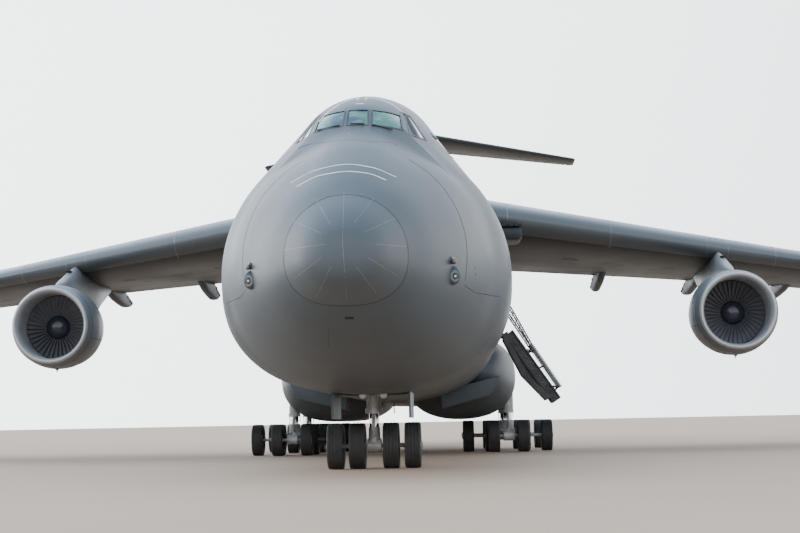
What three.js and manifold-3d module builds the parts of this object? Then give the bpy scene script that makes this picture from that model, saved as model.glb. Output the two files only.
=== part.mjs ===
import * as THREE from "three";
import { mergeVertices } from "three/addons/utils/BufferGeometryUtils.js";
import Module from "manifold-3d";

// A four-engine military transport with a high swept wing, a T-tail, a nose that swings up and a ramp at
// each end of its hold, as a model at half of its real size. It stands on its 28 wheels with the crew door
// open. The nose points to -Y, +X is the port side, and the ground is at z = 0.
// Every length below is the real aircraft's, in metres. M turns one into the model's millimetres.
const SCALE = 1 / 2;
const M = 1000 * SCALE;

// Driving dimensions.
const LENGTH = 75.53;
const TOUCH = 0.3 / M; // the gap between a piece and what carries it, or a pin and its bore
const CLEAR = 6 / M; // the least gap around a moving piece
const BELLY_POWER = 2.45; // how square the lower half of the body is
const HALF_SPAN = 33.94;
const HOLD_FLOOR = 2.95;
const HOLD_ROOF = 7.06;
const SILL = 0.22; // the thickness of the aft body's wall and doors

// Stations are distances aft of the nose tip.
// Where the swinging nose parts, as [station, z] down the side: its lower part reaches further aft.
const NOSE_BREAK = [[5.3, 11.35], [3.92, 4.235], [4.7, 4.13], [6.9, 4.2], [7.04, 2.9], [7.3, 2.0], [7.8, -1]];
const FORE_JOINT = 18.0;
const AFT_JOINT = 45.6;
const BODY_END = 70.3;
const RADOME_BACK = 1.25;

const wasm = await Module();
wasm.setup();

const paint = {
  body: [0x7d868a, 0.55, 0.1],
  dome: [0x79838a, 0.5, 0.05],
  wing: [0x70797d, 0.5, 0.1],
  cowl: [0x8f9598, 0.4, 0.2],
  fan: [0x2c2c30, 0.35, 0.8],
  gear: [0xc9cbc8, 0.45, 0.3],
  tyre: [0x1b1b1c, 0.9, 0],
  glass: [0x3f6f66, 0.1, 0],
  door: [0x5d646a, 0.6, 0.3],
  floor: [0x8a8d8c, 0.6, 0.4],
};
const finish = Object.fromEntries(
  Object.entries(paint).map(([name, [color, roughness, metalness]]) => [
    name,
    () => new THREE.MeshStandardMaterial({ color, roughness, metalness }),
  ]),
);

// A point from its distance to port, its station and its height.
const at = (x, station, z) => new THREE.Vector3(x * M, (station - LENGTH / 2) * M, z * M);

// A closed geometry as a solid that can be cut and joined, turned to face outwards.
function solid(geometry) {
  const bare = geometry.index ? geometry.toNonIndexed() : geometry.clone();
  bare.deleteAttribute("normal");
  bare.deleteAttribute("uv");
  const merged = mergeVertices(bare, 1e-3);
  const p = merged.attributes.position;
  const faces = [];
  let volume = 0;
  const a = new THREE.Vector3();
  const b = new THREE.Vector3();
  const c = new THREE.Vector3();
  for (let i = 0; i < merged.index.count; i += 3) {
    const [u, v, w] = [0, 1, 2].map((k) => merged.index.getX(i + k));
    if (u === v || v === w || w === u) continue;
    faces.push([u, v, w]);
    a.fromBufferAttribute(p, u);
    b.fromBufferAttribute(p, v);
    c.fromBufferAttribute(p, w);
    volume += a.dot(b.cross(c));
  }
  const triVerts = new Uint32Array(faces.flatMap(([u, v, w]) => (volume > 0 ? [u, v, w] : [u, w, v])));
  return new wasm.Manifold(new wasm.Mesh({ numProp: 3, vertProperties: p.array, triVerts }));
}

// The geometry of a solid, without the slivers that cutting leaves.
function geometryOf(made) {
  const { vertProperties, triVerts } = made.simplify(0.1).getMesh();
  return new THREE.BufferGeometry()
    .setAttribute("position", new THREE.BufferAttribute(new Float32Array(vertProperties), 3))
    .setIndex(new THREE.BufferAttribute(new Uint32Array(triVerts), 1));
}

const joined = (...solids) => solids.reduce((a, b) => a.add(b));
const moved = (made, x, station, z) => made.translate([x * M, station * M, z * M]);

// A skin over rings of points, each ring with the same count, closed by a fan at both ends.
function loft(rings) {
  const n = rings[0].length;
  const middle = (ring) =>
    ring.reduce((sum, p) => sum.add(p), new THREE.Vector3()).multiplyScalar(1 / n);
  const points = [...rings.flat(), middle(rings[0]), middle(rings.at(-1))];
  const index = [];
  const last = (rings.length - 1) * n;
  for (let k = 0; k < n; k++) {
    const next = (k + 1) % n;
    for (let i = 0; i < last; i += n) {
      index.push(i + k, i + n + k, i + next, i + next, i + n + k, i + n + next);
    }
    index.push(last + n, k, next, last + n + 1, last + next, last + k);
  }
  return solid(new THREE.BufferGeometry().setFromPoints(points).setIndex(index));
}

// Prisms from an outline across one axis. Outlines are [station, z], [x, z] and [x, station].
function extruded(outline, from, to, u, v, w) {
  const shape = new THREE.Shape(outline.map(([a, b]) => new THREE.Vector2(a * M, b * M)));
  const geometry = new THREE.ExtrudeGeometry(shape, { depth: (to - from) * M, bevelEnabled: false });
  geometry.translate(0, 0, from * M).applyMatrix4(new THREE.Matrix4().makeBasis(u, v, w));
  return solid(geometry.translate(0, u.y || w.y ? (-LENGTH / 2) * M : 0, 0));
}
const X = new THREE.Vector3(1, 0, 0);
const Y = new THREE.Vector3(0, 1, 0);
const Z = new THREE.Vector3(0, 0, 1);
const acrossX = (outline, from, to) => extruded(outline, from, to, Y, Z, X);
const acrossY = (outline, from, to) => extruded(outline.map(([x, z]) => [z, x]), from, to, Z, X, Y);
function acrossZ(outline, from, to) {
  const placed = outline.map(([x, station]) => [x, station - LENGTH / 2]);
  const shape = new THREE.Shape(placed.map(([a, b]) => new THREE.Vector2(a * M, b * M)));
  const geometry = new THREE.ExtrudeGeometry(shape, { depth: (to - from) * M, bevelEnabled: false });
  return solid(geometry.translate(0, 0, from * M));
}

const block = (x0, x1, s0, s1, z0, z1) =>
  acrossX([[s0, z0], [s1, z0], [s1, z1], [s0, z1]], x0, x1);

// A round bar between two points, each given as [x, station, z], with a second radius where it tapers.
function bar(from, to, radius, sides = 8, radiusTo = radius) {
  const a = at(...from);
  const b = at(...to);
  const geometry = new THREE.CylinderGeometry(radiusTo * M, radius * M, a.distanceTo(b), sides);
  geometry.applyQuaternion(
    new THREE.Quaternion().setFromUnitVectors(Y, b.clone().sub(a).normalize()),
  );
  const centre = a.add(b).multiplyScalar(0.5);
  return solid(geometry.translate(centre.x, centre.y, centre.z));
}

// A turned body about the Y axis of its own frame. The profile is [distance aft, radius].
function turned(profile, sides, grow = 0) {
  const points = profile.map(([y, r]) => new THREE.Vector2(Math.max(0, r && r + grow) * M, y * M));
  return solid(new THREE.LatheGeometry(points, sides, Math.PI / sides));
}

// The body's sections: station, lowest z, z of the greatest width, half width, radius of the upper lobe,
// highest z.
const BODY = [
  [0.06, 4.22, 4.62, 0.42, 0.4, 5.02],
  [0.32, 3.98, 4.64, 0.78, 0.7, 5.34],
  [0.72, 3.83, 4.67, 1.03, 1.0, 5.65],
  [RADOME_BACK, 3.64, 4.7, 1.3, 1.19, 5.97],
  [2.0, 3.24, 4.74, 1.7, 1.45, 6.46],
  [3.0, 2.86, 4.78, 2.14, 1.62, 7.02],
  [4.2, 2.52, 4.82, 2.6, 1.6, 7.6],
  [5.6, 2.25, 4.85, 3.02, 1.42, 8.18],
  [6.5, 2.12, 4.85, 3.24, 1.45, 8.86],
  [7.6, 2.02, 4.85, 3.56, 1.65, 9.28],
  [9.0, 1.96, 4.85, 3.71, 1.85, 9.66],
  [11.0, 1.95, 4.85, 3.73, 1.98, 10.05],
  [14.0, 1.95, 4.85, 3.73, 2.1, 10.33],
  [FORE_JOINT, 1.95, 4.85, 3.73, 2.15, 10.42],
  [AFT_JOINT, 1.95, 4.85, 3.73, 2.15, 10.42],
  [50.0, 2.4, 5.0, 3.66, 2.1, 10.4],
  [54.0, 3.3, 5.4, 3.42, 2.05, 10.34],
  [58.0, 4.28, 5.95, 2.98, 1.92, 10.2],
  [62.0, 5.36, 6.65, 2.38, 1.68, 9.98],
  [66.0, 6.38, 7.35, 1.62, 1.28, 9.56],
  [69.0, 7.12, 7.85, 0.92, 0.78, 8.96],
  [BODY_END, 7.72, 8.05, 0.25, 0.24, 8.36],
];
const SIDE_STEPS = 10; // points up each side of a section

// One section of the body, grown outwards: a squared belly, and the hull of two circles above it.
function bodyRing([station, low, wide, half, lobe, high], grow) {
  const [w, bottom, top, cap] = [half + grow, low - grow, high + grow, lobe + grow];
  const centre = top - cap;
  const ratio = (w - cap) / (centre - wide);
  const twoLobes = centre > wide && Math.abs(ratio) < 1;
  const lean = twoLobes ? Math.asin(ratio) : 0;
  const side = [];
  for (let k = 0; k <= SIDE_STEPS; k++) {
    const angle = Math.PI * (k / SIDE_STEPS - 0.5);
    const [c, s] = [Math.max(0, Math.cos(angle)), Math.sin(angle)];
    if (angle < 0) {
      const bend = 2 / BELLY_POWER;
      side.push([w * c ** bend, wide - (wide - bottom) * (-s) ** bend]);
    } else if (!twoLobes) side.push([w * c, wide + (top - wide) * s]);
    else if (angle < lean) side.push([w * c, wide + w * s]);
    else side.push([cap * c, centre + cap * s]);
  }
  const far = side.slice(1, -1).reverse();
  return [...side.map(([x, z]) => at(x, station, z)), ...far.map(([x, z]) => at(-x, station, z))];
}

// The body between two stations, grown or shrunk all round, from each of its sections or every second one.
function bodyLoft(grow, from = -1, to = LENGTH, step = 1) {
  const rows = BODY.filter(([s]) => s >= from && s <= to);
  const rings = rows.filter((row, k) => k % step === 0).map((row) => bodyRing(row, grow));
  if (from < 0) {
    const tip = at(0, 0, 4.61);
    rings.unshift(rings[0].map((p) => tip.clone().lerp(p, 1e-3).setY(tip.y)));
  }
  return loft(rings);
}
// The body's table worked out at any station, its lower surface at a distance out, and half its width at
// a height.
function sectionAt(station) {
  const after = BODY.findIndex(([s]) => s >= station);
  const [near, far] = [BODY[after - 1], BODY[after]];
  const share = (station - near[0]) / (far[0] - near[0]);
  return near.map((v, k) => v + (far[k] - v) * share);
}
function underAt(x, station) {
  const [, low, wide, half] = sectionAt(station);
  return wide - (wide - low) * (1 - (x / half) ** BELLY_POWER) ** (1 / BELLY_POWER);
}
function sideAt(station, z) {
  const [, low, wide, half] = sectionAt(station);
  return z < wide
    ? half * (1 - ((wide - z) / (wide - low)) ** BELLY_POWER) ** (1 / BELLY_POWER)
    : Math.sqrt(half ** 2 - (z - wide) ** 2);
}
const body = bodyLoft(0);
const bodyTouch = bodyLoft(TOUCH);

// What lies behind, or ahead of, the line where the nose parts, moved aft by a gap.
function noseCut(shift, behind) {
  const line = NOSE_BREAK.map(([s, z]) => [s + shift, z + shift]);
  const far = behind ? BODY_END + 10 : -10;
  return acrossX([...line, [far, line.at(-1)[1]], [far, line[0][1]]], -12, 12);
}

// The hold's outline at a station: half width by height, the sides drawn in with the body.
function holdRing(station, share) {
  const side = [[2.8, HOLD_FLOOR], [3.3, 3.8], [3.34, 5.4], [2.75, 6.35], [2.1, HOLD_ROOF]];
  return [
    ...side.map(([x, z]) => at(x * share, station, z)),
    ...side.reverse().map(([x, z]) => at(-x * share, station, z)),
  ];
}
const hold = loft([holdRing(3, 0.8), holdRing(7.4, 0.9), holdRing(10.5, 1), holdRing(46.4, 1)]);

// The flight deck: the cabin, its windows by [x, z] seen from ahead or [station, z] from the side.
const DECK = { floor: 7.36, front: 5.7, back: 12.4, wall: 0.16, glass: 0.05 };
const cabinSpace = bodyLoft(-DECK.wall, 2, 15).intersect(
  block(-3, 3, DECK.front, DECK.back, DECK.floor, 12),
);
const centreWindow = acrossY([[-0.25, 8.26], [0.25, 8.26], [0.23, 8.78], [-0.23, 8.78]], 4.9, 7.4);
const frontWindow = acrossY([[0.36, 8.26], [1.1, 8.2], [1.02, 8.74], [0.34, 8.78]], 4.9, 7.4);
const sideWindow = acrossX([[6.75, 8.2], [8.6, 8.02], [8.35, 8.62], [7.0, 8.8]], 0.9, 4);
const rearWindow = acrossX([[8.85, 8.06], [9.75, 8.06], [9.65, 8.6], [8.75, 8.6]], 0.9, 4);
const windows = [centreWindow, frontWindow, sideWindow, rearWindow].flatMap((w) => [
  w,
  w.mirror([1, 0, 0]),
]);

// The crew door, low on the port side. It opens down to the ground, so its hinge is its lower edge.
const CREW = { station: 13.5, half: 0.6, sill: 3.54, head: 5.86, open: 146, skin: 0.14,
  pin: 0.06 };
const crewOpening = block(
  2.2,
  4.6,
  CREW.station - CREW.half,
  CREW.station + CREW.half,
  CREW.sill,
  CREW.head,
);
CREW.hinge = CREW.sill + CREW.pin + 0.005;
const crewHinge = [sideAt(CREW.station, CREW.hinge), CREW.hinge];
const crewPins = joined(
  ...[-1, 1].map((side) =>
    bar(
      [crewHinge[0], CREW.station + side * (CREW.half - 0.2), CREW.hinge],
      [crewHinge[0], CREW.station + side * (CREW.half - TOUCH), CREW.hinge],
      CREW.pin,
    ),
  ),
);

// The nose gear's bay.
const NOSE_LEG = { station: 11.0, bayRoof: 2.72, bayHalf: 0.98, bayFront: 9.5, bayBack: 12.3 };
const noseBay = block(
  -NOSE_LEG.bayHalf,
  NOSE_LEG.bayHalf,
  NOSE_LEG.bayFront,
  NOSE_LEG.bayBack,
  1,
  NOSE_LEG.bayRoof,
);

const slice = (s0, s1) => block(-40, 40, s0, s1, -2, 25);

const NOSE_WALL = 0.24;

// The pin that the nose swings up on, at the top of its break.
const NOSE_HINGE = { station: 4.62, z: 7.76, radius: 0.06, half: 0.5, sides: 16 };
const nosePin = (grow) =>
  bar(
    [-NOSE_HINGE.half - grow, NOSE_HINGE.station, NOSE_HINGE.z],
    [NOSE_HINGE.half + grow, NOSE_HINGE.station, NOSE_HINGE.z],
    (NOSE_HINGE.radius + grow) / (grow ? Math.cos(Math.PI / NOSE_HINGE.sides) : 1),
    NOSE_HINGE.sides,
  );
const foreBody = windows
  .reduce((made, w) => made.subtract(w), body.intersect(noseCut(CLEAR, true)))
  .intersect(slice(0, FORE_JOINT))
  .subtract(hold.intersect(bodyLoft(-NOSE_WALL)))
  .subtract(cabinSpace)
  .subtract(crewOpening)
  .subtract(noseBay)
  .subtract(nosePin(TOUCH));
const midBody = body.intersect(slice(FORE_JOINT + TOUCH, AFT_JOINT)).subtract(hold);

// The windows' glass: one band that lies against the inside of the cabin wall.
const glassBand = bodyLoft(-DECK.wall - TOUCH, 2, 15)
  .subtract(bodyLoft(-DECK.wall - DECK.glass, 2, 15))
  .intersect(block(-2.6, 2.6, DECK.front + TOUCH, 10.0, 7.9, 8.95));

// The swinging nose, which is hollow, and ahead of it the radome.
const visor = body
  .intersect(noseCut(-CLEAR, false))
  .intersect(slice(RADOME_BACK + TOUCH, 20))
  .subtract(bodyLoft(-NOSE_WALL).intersect(slice(RADOME_BACK + 0.3, 20)))
  .add(nosePin(0));
const radome = body.intersect(slice(-1, RADOME_BACK));

// The forward ramp stands upright behind the nose, and folds forward and down from the floor's front edge.
const FORE_RAMP = { hinge: 7.1, pin: 0.06, ahead: 0.02, thick: 0.24, head: 6.9 };
FORE_RAMP.z = HOLD_FLOOR + FORE_RAMP.pin + TOUCH;
const rampSide = [[2.3, FORE_RAMP.z], [2.5, 4.2], [2.1, 5.6], [1.4, FORE_RAMP.head]];
const foreRamp = joined(
  acrossY(
    [...rampSide, ...[...rampSide].reverse().map(([x, z]) => [-x, z])],
    FORE_RAMP.hinge + FORE_RAMP.ahead,
    FORE_RAMP.hinge + FORE_RAMP.ahead + FORE_RAMP.thick,
  ),
  ...[-1.8, 0, 1.8].map((x) =>
    bar([x - 0.3, FORE_RAMP.hinge, FORE_RAMP.z], [x + 0.3, FORE_RAMP.hinge, FORE_RAMP.z], FORE_RAMP.pin),
  ),
);

// The aft ramp, hinged at its lower front edge, and the two doors behind it, hinged at their outer edges.
const AFT_RAMP = { from: AFT_JOINT + 0.08, to: 51.4, half: 2.5, rise: 0.085, z: 2.02, pin: 0.06,
  foot: 2.68, trim: 0.17 }; // its rear face leans forward from its foot, so that it clears as it falls
AFT_RAMP.hinge = AFT_JOINT + TOUCH + AFT_RAMP.pin;
const PETAL = { from: 51.4, to: 60.4, rootHalf: 2.5, tipHalf: 1.5, room: 3, drop: 0.06 };
const EDGE = 0.05;
const aftWall = body
  .intersect(slice(AFT_JOINT + TOUCH, BODY_END + 1))
  .subtract(bodyLoft(-SILL, 40, 66).intersect(slice(AFT_JOINT - 1, 62)));
function rampZone(grow) {
  const top = (s) => HOLD_FLOOR + (s - AFT_RAMP.from) * AFT_RAMP.rise + grow;
  const [a, b] = [grow ? AFT_JOINT - 1 : AFT_RAMP.from, AFT_RAMP.to + grow];
  const half = AFT_RAMP.half + grow;
  const back = grow ? b : b - AFT_RAMP.trim;
  return acrossX([[a, 0], [b, 0], [b, AFT_RAMP.foot], [back, top(b)], [a, top(a)]], -half, half);
}
PETAL.taper = (PETAL.rootHalf - PETAL.tipHalf) / (PETAL.to - PETAL.from - EDGE);
function petalZone(grow) {
  const { from, to, rootHalf, tipHalf, taper, room } = PETAL;
  const inner = grow ? -1 : EDGE / 2;
  const behind = grow * room;
  return acrossZ(
    [
      [inner, from + EDGE - grow],
      [rootHalf + grow * (1 + taper), from + EDGE - grow],
      [tipHalf + grow - behind * taper, to + behind],
      [inner, to + behind],
    ],
    0,
    6.2,
  );
}
const petalHinge = [
  [PETAL.rootHalf, PETAL.from + EDGE, underAt(PETAL.rootHalf, PETAL.from + EDGE) - PETAL.drop],
  [PETAL.tipHalf, PETAL.to, underAt(PETAL.tipHalf, PETAL.to) - PETAL.drop],
];
const petalPins = joined(
  ...[0.3, 0.78].map((share) => {
    const [from, to] = petalHinge.map((p) => new THREE.Vector3(...p));
    const [a, b] = [share - 0.05, share + 0.05].map((f) => from.clone().lerp(to, f).toArray());
    return bar(a, b, EDGE / Math.hypot(1, PETAL.taper) - TOUCH, 12);
  }),
);
const aftPins = joined(
  ...[-0.7, 0, 0.7].map((x) =>
    bar([x - 0.2, AFT_RAMP.hinge, AFT_RAMP.z], [x + 0.2, AFT_RAMP.hinge, AFT_RAMP.z], AFT_RAMP.pin),
  ),
);
const aftRamp = body.intersect(rampZone(0)).add(aftPins);
const petal = aftWall.intersect(petalZone(0)).add(petalPins);
const aftBody = aftWall
  .subtract(rampZone(EDGE))
  .subtract(petalZone(EDGE))
  .subtract(petalZone(EDGE).mirror([1, 0, 0]));

// Aerofoils: share of the chord against half thickness, and the camber's height.
const CHORD_STEPS = [1, 0.76, 0.5, 0.3, 0.15, 0.05, 0.012];
const thickness = (f) =>
  5 * (0.2969 * Math.sqrt(f) - 0.126 * f - 0.3516 * f ** 2 + 0.2843 * f ** 3 - 0.1015 * f ** 4);
const blunt = 0.004;

// A ring of [share of chord, height over chord] round an aerofoil.
function foil(ratio, camber) {
  const point = (f, side) => [f, side * (ratio * thickness(f) + blunt * f) + 4 * camber * f * (1 - f)];
  return [
    ...CHORD_STEPS.map((f) => point(f, 1)),
    [0, 0],
    ...[...CHORD_STEPS].reverse().map((f) => point(f, -1)),
  ];
}

// A flat surface's section: distance out, leading edge, chord, height of the quarter chord, incidence in
// degrees, thickness over chord. The wing droops from its root and twists nose down to its tip.
const WING = {
  edge: 20.45,
  sweep: 0.543,
  root: 13.85,
  kink: 14.9,
  kinkChord: 8.7,
  tip: 4.67,
  z: 8.42,
  droop: 0.09,
};
function wingAt(x) {
  const { edge, sweep, root, kink, kinkChord, tip, z, droop } = WING;
  const chord =
    x < kink
      ? root + ((kinkChord - root) * x) / kink
      : kinkChord + ((tip - kinkChord) * (x - kink)) / (HALF_SPAN - kink);
  const share = x / HALF_SPAN;
  return {
    x,
    lead: edge + sweep * x,
    chord,
    z: z - droop * x,
    turn: 3.5 - 5 * share,
    ratio: 0.134 - 0.024 * share,
  };
}
function foilRing({ x, lead, chord, z, turn, ratio }, camber, grow = 0) {
  const [c, s] = [Math.cos((turn * Math.PI) / 180), Math.sin((turn * Math.PI) / 180)];
  return foil(ratio, camber).map(([f, h], k, all) => {
    const along = (f - 0.25) * chord + grow * (2 * f - 1);
    const up = h * chord + 2 * grow * Math.sign(all.length / 2 - 0.5 - k);
    return at(x, lead + 0.25 * chord + along * c + up * s, z - along * s + up * c);
  });
}
const tipCap = { ...wingAt(HALF_SPAN), ratio: 0.03 };
tipCap.lead += 0.8;
tipCap.chord -= 1.0;
const WING_ROWS = [...[1.2, 5, WING.kink, 24.5, HALF_SPAN - 0.45].map(wingAt), tipCap];
const wingLoft = (grow) => loft(WING_ROWS.map((row) => foilRing(row, 0.014, grow)));
const wholeWing = wingLoft(0).subtract(bodyTouch);

// A share of the chord along the wing, as plan points [x, station].
function chordLine(share, xs) {
  return xs.map((x) => [x, wingAt(x).lead + share * wingAt(x).chord]);
}
function trailingZone(share, from, to, grow, ahead = grow) {
  const xs = [from - grow, ...(from < WING.kink && to > WING.kink ? [WING.kink] : []), to + grow];
  const line = chordLine(share, xs).map(([x, s]) => [x, s - ahead]);
  return acrossZ([...line, [to + grow, 60], [from - grow, 60]], 2, 12);
}
const FLAP = { share: 0.76, from: 3.95, to: 21.8 };
const AILERON = { share: 0.77, from: 23.4, to: 31.8, gap: 0.05, pin: 0.05 };

// The canoe-shaped fairings over the flap tracks: distance aft of the trailing edge, half width, depth.
const FAIRINGS = [4.2, 8.3, 12.55, 16.3, 20.4];
const CANOE = [
  [-5.0, 0.06, 0.05],
  [-3.4, 0.24, 0.6],
  [-1.4, 0.28, 0.95],
  [0.6, 0.24, 0.75],
  [1.75, 0.06, 0.12],
];
function fairing(x, grow) {
  const { lead, chord, z, turn } = wingAt(x);
  const tail = lead + chord;
  const under = z - 0.75 * chord * Math.sin((turn * Math.PI) / 180) - 0.02;
  const rise = Math.tan((turn * Math.PI) / 180) + 0.035;
  return loft(
    CANOE.map(([back, half, depth]) => {
      const top = under - Math.min(back, 0) * rise;
      const w = half + grow;
      const [high, low] = [top + 0.1 + grow, top - depth * (1 - x / 60) - grow];
      const shoulder = low + 0.4 * (high - low);
      return [[w, high], [w, shoulder], [0, low], [-w, shoulder], [-w, high]].map(([dx, h]) =>
        at(x + dx, tail + back, h),
      );
    }),
  );
}
const fairings = joined(...FAIRINGS.map((x) => fairing(x, 0)));

const NOSE_GAP = 0.02; // round the nose of a control surface

// A control surface: the aft part of an aerofoil behind a hinge line, with a round nose on that line, and
// a stub at each end that bears on the fixed part across the gap at the ends. The line's ends are
// [x, station, z], and the radii are half of the thickness there.
function controlled(whole, zone, { from, to, radii, gap, ends, pin, across }) {
  const [a, b] = [from, to].map((p) => new THREE.Vector3(...p));
  const along = b.clone().sub(a).normalize();
  const out = (p, distance) => p.clone().addScaledVector(along, distance).toArray();
  const sides = 14;
  const wide = (r, grow) => (grow ? (r + NOSE_GAP) / Math.cos(Math.PI / sides) : 0.93 * r);
  const nose = (grow, extra) =>
    bar(out(a, -extra), out(b, extra), wide(radii[0], grow), sides, wide(radii[1], grow));
  const lean = along.dot(across);
  const reach = (ends - TOUCH - pin * Math.sqrt(1 - lean ** 2)) / lean;
  const stubs = joined(
    bar(out(a, -reach), out(a, 0.1), pin, 12),
    bar(out(b, -0.1), out(b, reach), pin, 12),
  );
  const moving = whole
    .intersect(zone(0))
    .add(nose(0, 0.5).intersect(whole).intersect(zone(0, 1)))
    .add(stubs);
  const fixed = whole.subtract(zone(gap)).subtract(nose(gap, 0.5).intersect(zone(gap, 1)));
  return { moving, fixed };
}
// Half of an aerofoil's thickness at a share of its chord, and the middle there.
const halfAt = ({ ratio, chord }, share) => (ratio * thickness(share) + blunt * share) * chord;
function hingeAt(row, share) {
  const along = (share - 0.25) * row.chord;
  const turn = ((row.turn ?? 0) * Math.PI) / 180;
  const [middle] = [4 * (row.camber ?? 0) * share * (1 - share) * row.chord];
  return {
    point: [
      row.x,
      row.lead + 0.25 * row.chord + along * Math.cos(turn),
      row.z - along * Math.sin(turn) + middle,
    ],
    half: halfAt(row, share),
  };
}
const aileronEnds = [AILERON.from, AILERON.to].map((x) =>
  hingeAt({ ...wingAt(x), camber: 0.014 }, AILERON.share),
);
const aileronParts = controlled(
  wholeWing,
  (grow, ahead) => trailingZone(AILERON.share, AILERON.from, AILERON.to, grow, ahead),
  {
    from: aileronEnds[0].point,
    to: aileronEnds[1].point,
    radii: aileronEnds.map(({ half }) => half),
    gap: AILERON.gap,
    ends: AILERON.gap,
    pin: AILERON.pin,
    across: X,
  },
);
const wing = aileronParts.fixed
  .subtract(trailingZone(FLAP.share, FLAP.from, FLAP.to, TOUCH))
  .add(fairings);
const flap = wholeWing
  .intersect(trailingZone(FLAP.share, FLAP.from, FLAP.to, 0))
  .subtract(joined(...FAIRINGS.map((x) => fairing(x, TOUCH))));

// The engines: distance out, lip station, height of the axis.
const ENGINES = [
  [18.8, 26.95, 4.22],
  [12.0, 23.25, 4.83],
  [-12.0, 23.25, 4.83],
  [-18.8, 26.95, 4.22],
];
const COWL_SIDES = 18;
const FAN_FACE = 1.64;
const COWL = [
  [FAN_FACE, 0],
  [FAN_FACE, 1.23],
  [0.3, 1.15],
  [0, 1.27],
  [0.1, 1.34],
  [0.45, 1.44],
  [1.2, 1.5],
  [2.1, 1.42],
  [3.5, 1.12],
  [3.5, 1.07],
  [2.7, 1.04],
  [2.7, 0.8],
  [3.9, 0.7],
  [5.2, 0.42],
  [5.8, 0],
];
const cowl = turned(COWL, COWL_SIDES);

// The fan: a domed spinner, and 38 blades round it that turn with depth from their front to their back.
const FAN = { blades: 38, tip: 1.15, hub: 0.44, front: 1.2, back: 1.5, thick: 0.03, twist: 4 };
function bladeRing(y, turn) {
  const pitch = (2 * Math.PI) / FAN.blades;
  const point = (r, angle) => new THREE.Vector3(Math.sin(angle) * r * M, y * M, Math.cos(angle) * r * M);
  return Array.from({ length: FAN.blades }, (_, k) => {
    const angle = k * pitch + (turn * Math.PI) / 180;
    const half = FAN.thick / FAN.tip;
    return [point(FAN.tip, angle - half), point(FAN.tip, angle + half), point(FAN.hub, angle + pitch / 2)];
  }).flat();
}
const fan = joined(
  loft([bladeRing(FAN.front, -FAN.twist), bladeRing(FAN.back, FAN.twist)]),
  turned(
    [[0.93, 0], [1.0, 0.24], [FAN.front + 0.01, 0.41], [FAN.front + 0.01, 0]],
    12,
  ),
  turned([[FAN.back - 0.1, 0], [FAN.back - 0.1, 0.3], [FAN_FACE - TOUCH, 0.3], [FAN_FACE - TOUCH, 0]], 6),
);

// The pylon from the cowl up to the wing: station after the lip, half width, low and high above the axis.
const PYLON = [
  [1.0, 0.05, 0.9, 1.5],
  [1.8, 0.17, 0.85, 1.79],
  [3.72, 0.3, 0.7, 2.5],
  [5.8, 0.34, 0.74, 2.5],
  [7.7, 0.24, 1.65, 2.4],
  [9.6, 0.05, 1.9, 2.2],
];
function pylon(x, lip, z) {
  const made = loft(
    PYLON.map(([back, half, low, high]) => {
      const edge = Math.min(0.35, (high - low) / 3);
      return [[half, low + edge], [half, high - edge], [0, high], [-half, high - edge],
        [-half, low + edge], [0, low]].map(([dx, h]) => at(x + dx, lip + back, z + h));
    }),
  );
  const core = turned([[0, 0], ...COWL.slice(3, 9), [3.5, 0.75], ...COWL.slice(12)], COWL_SIDES, TOUCH);
  return made
    .subtract(moved(core, x, lip - LENGTH / 2, z))
    .subtract(wingLoft(TOUCH))
    .subtract(joined(...FAIRINGS.map((out) => fairing(out, TOUCH))));
}

// The tail: fin, rudder, and the tailplane with its bullet and elevators.
const FIN = { low: 8.4, high: 19.1, lead: 56.6, leadTop: 65.5, chord: 11.2, chordTop: 7.2 };
const TAILPLANE = { half: 10.47, lead: 66.6, sweep: 0.605, root: 6.2, tip: 2.6, z: 19.3, droop: 0.0787 };
function planeAt(x) {
  const { half, lead, sweep, root, tip, z, droop } = TAILPLANE;
  const share = x / half;
  return { x, lead: lead + sweep * x, chord: root + (tip - root) * share, z: z - droop * x, turn: 0,
    ratio: 0.105 };
}
const bulletProfile = [[0, 0], [0.3, 0.22], [1.8, 0.52], [5.6, 0.54], [7.8, 0.34], [8.95, 0]];
const BULLET_FRONT = 64.7;
const bullet = (grow) =>
  moved(turned(bulletProfile, 10, grow), 0, BULLET_FRONT - LENGTH / 2, TAILPLANE.z);
const planeTip = { ...planeAt(TAILPLANE.half), ratio: 0.03 };
planeTip.lead += 0.5;
planeTip.chord -= 0.5;
const halfPlane = loft([
  foilRing(planeAt(0), 0),
  foilRing(planeAt(TAILPLANE.half - 0.3), 0),
  foilRing(planeTip, 0),
]);
const ELEVATOR = { share: 0.72, from: 0.85, to: 9.9, gap: 0.065, pin: 0.04 };
function elevatorZone(grow, ahead = grow) {
  const xs = [ELEVATOR.from - grow, ELEVATOR.to + grow];
  const line = xs.map((x) => [x, planeAt(x).lead + ELEVATOR.share * planeAt(x).chord - ahead]);
  return acrossZ([...line, [xs[1], 80], [xs[0], 80]], 15, 22);
}
const elevatorEnds = [ELEVATOR.from, ELEVATOR.to].map((x) => hingeAt(planeAt(x), ELEVATOR.share));
const elevatorParts = controlled(halfPlane, elevatorZone, {
  from: elevatorEnds[0].point,
  to: elevatorEnds[1].point,
  radii: elevatorEnds.map(({ half }) => half),
  gap: ELEVATOR.gap,
  ends: ELEVATOR.gap,
  pin: ELEVATOR.pin,
  across: X,
});
const tailplane = joined(
  elevatorParts.fixed,
  elevatorParts.fixed.mirror([1, 0, 0]),
  bullet(0).subtract(elevatorZone(ELEVATOR.gap)).subtract(elevatorZone(ELEVATOR.gap).mirror([1, 0, 0])),
);

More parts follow.
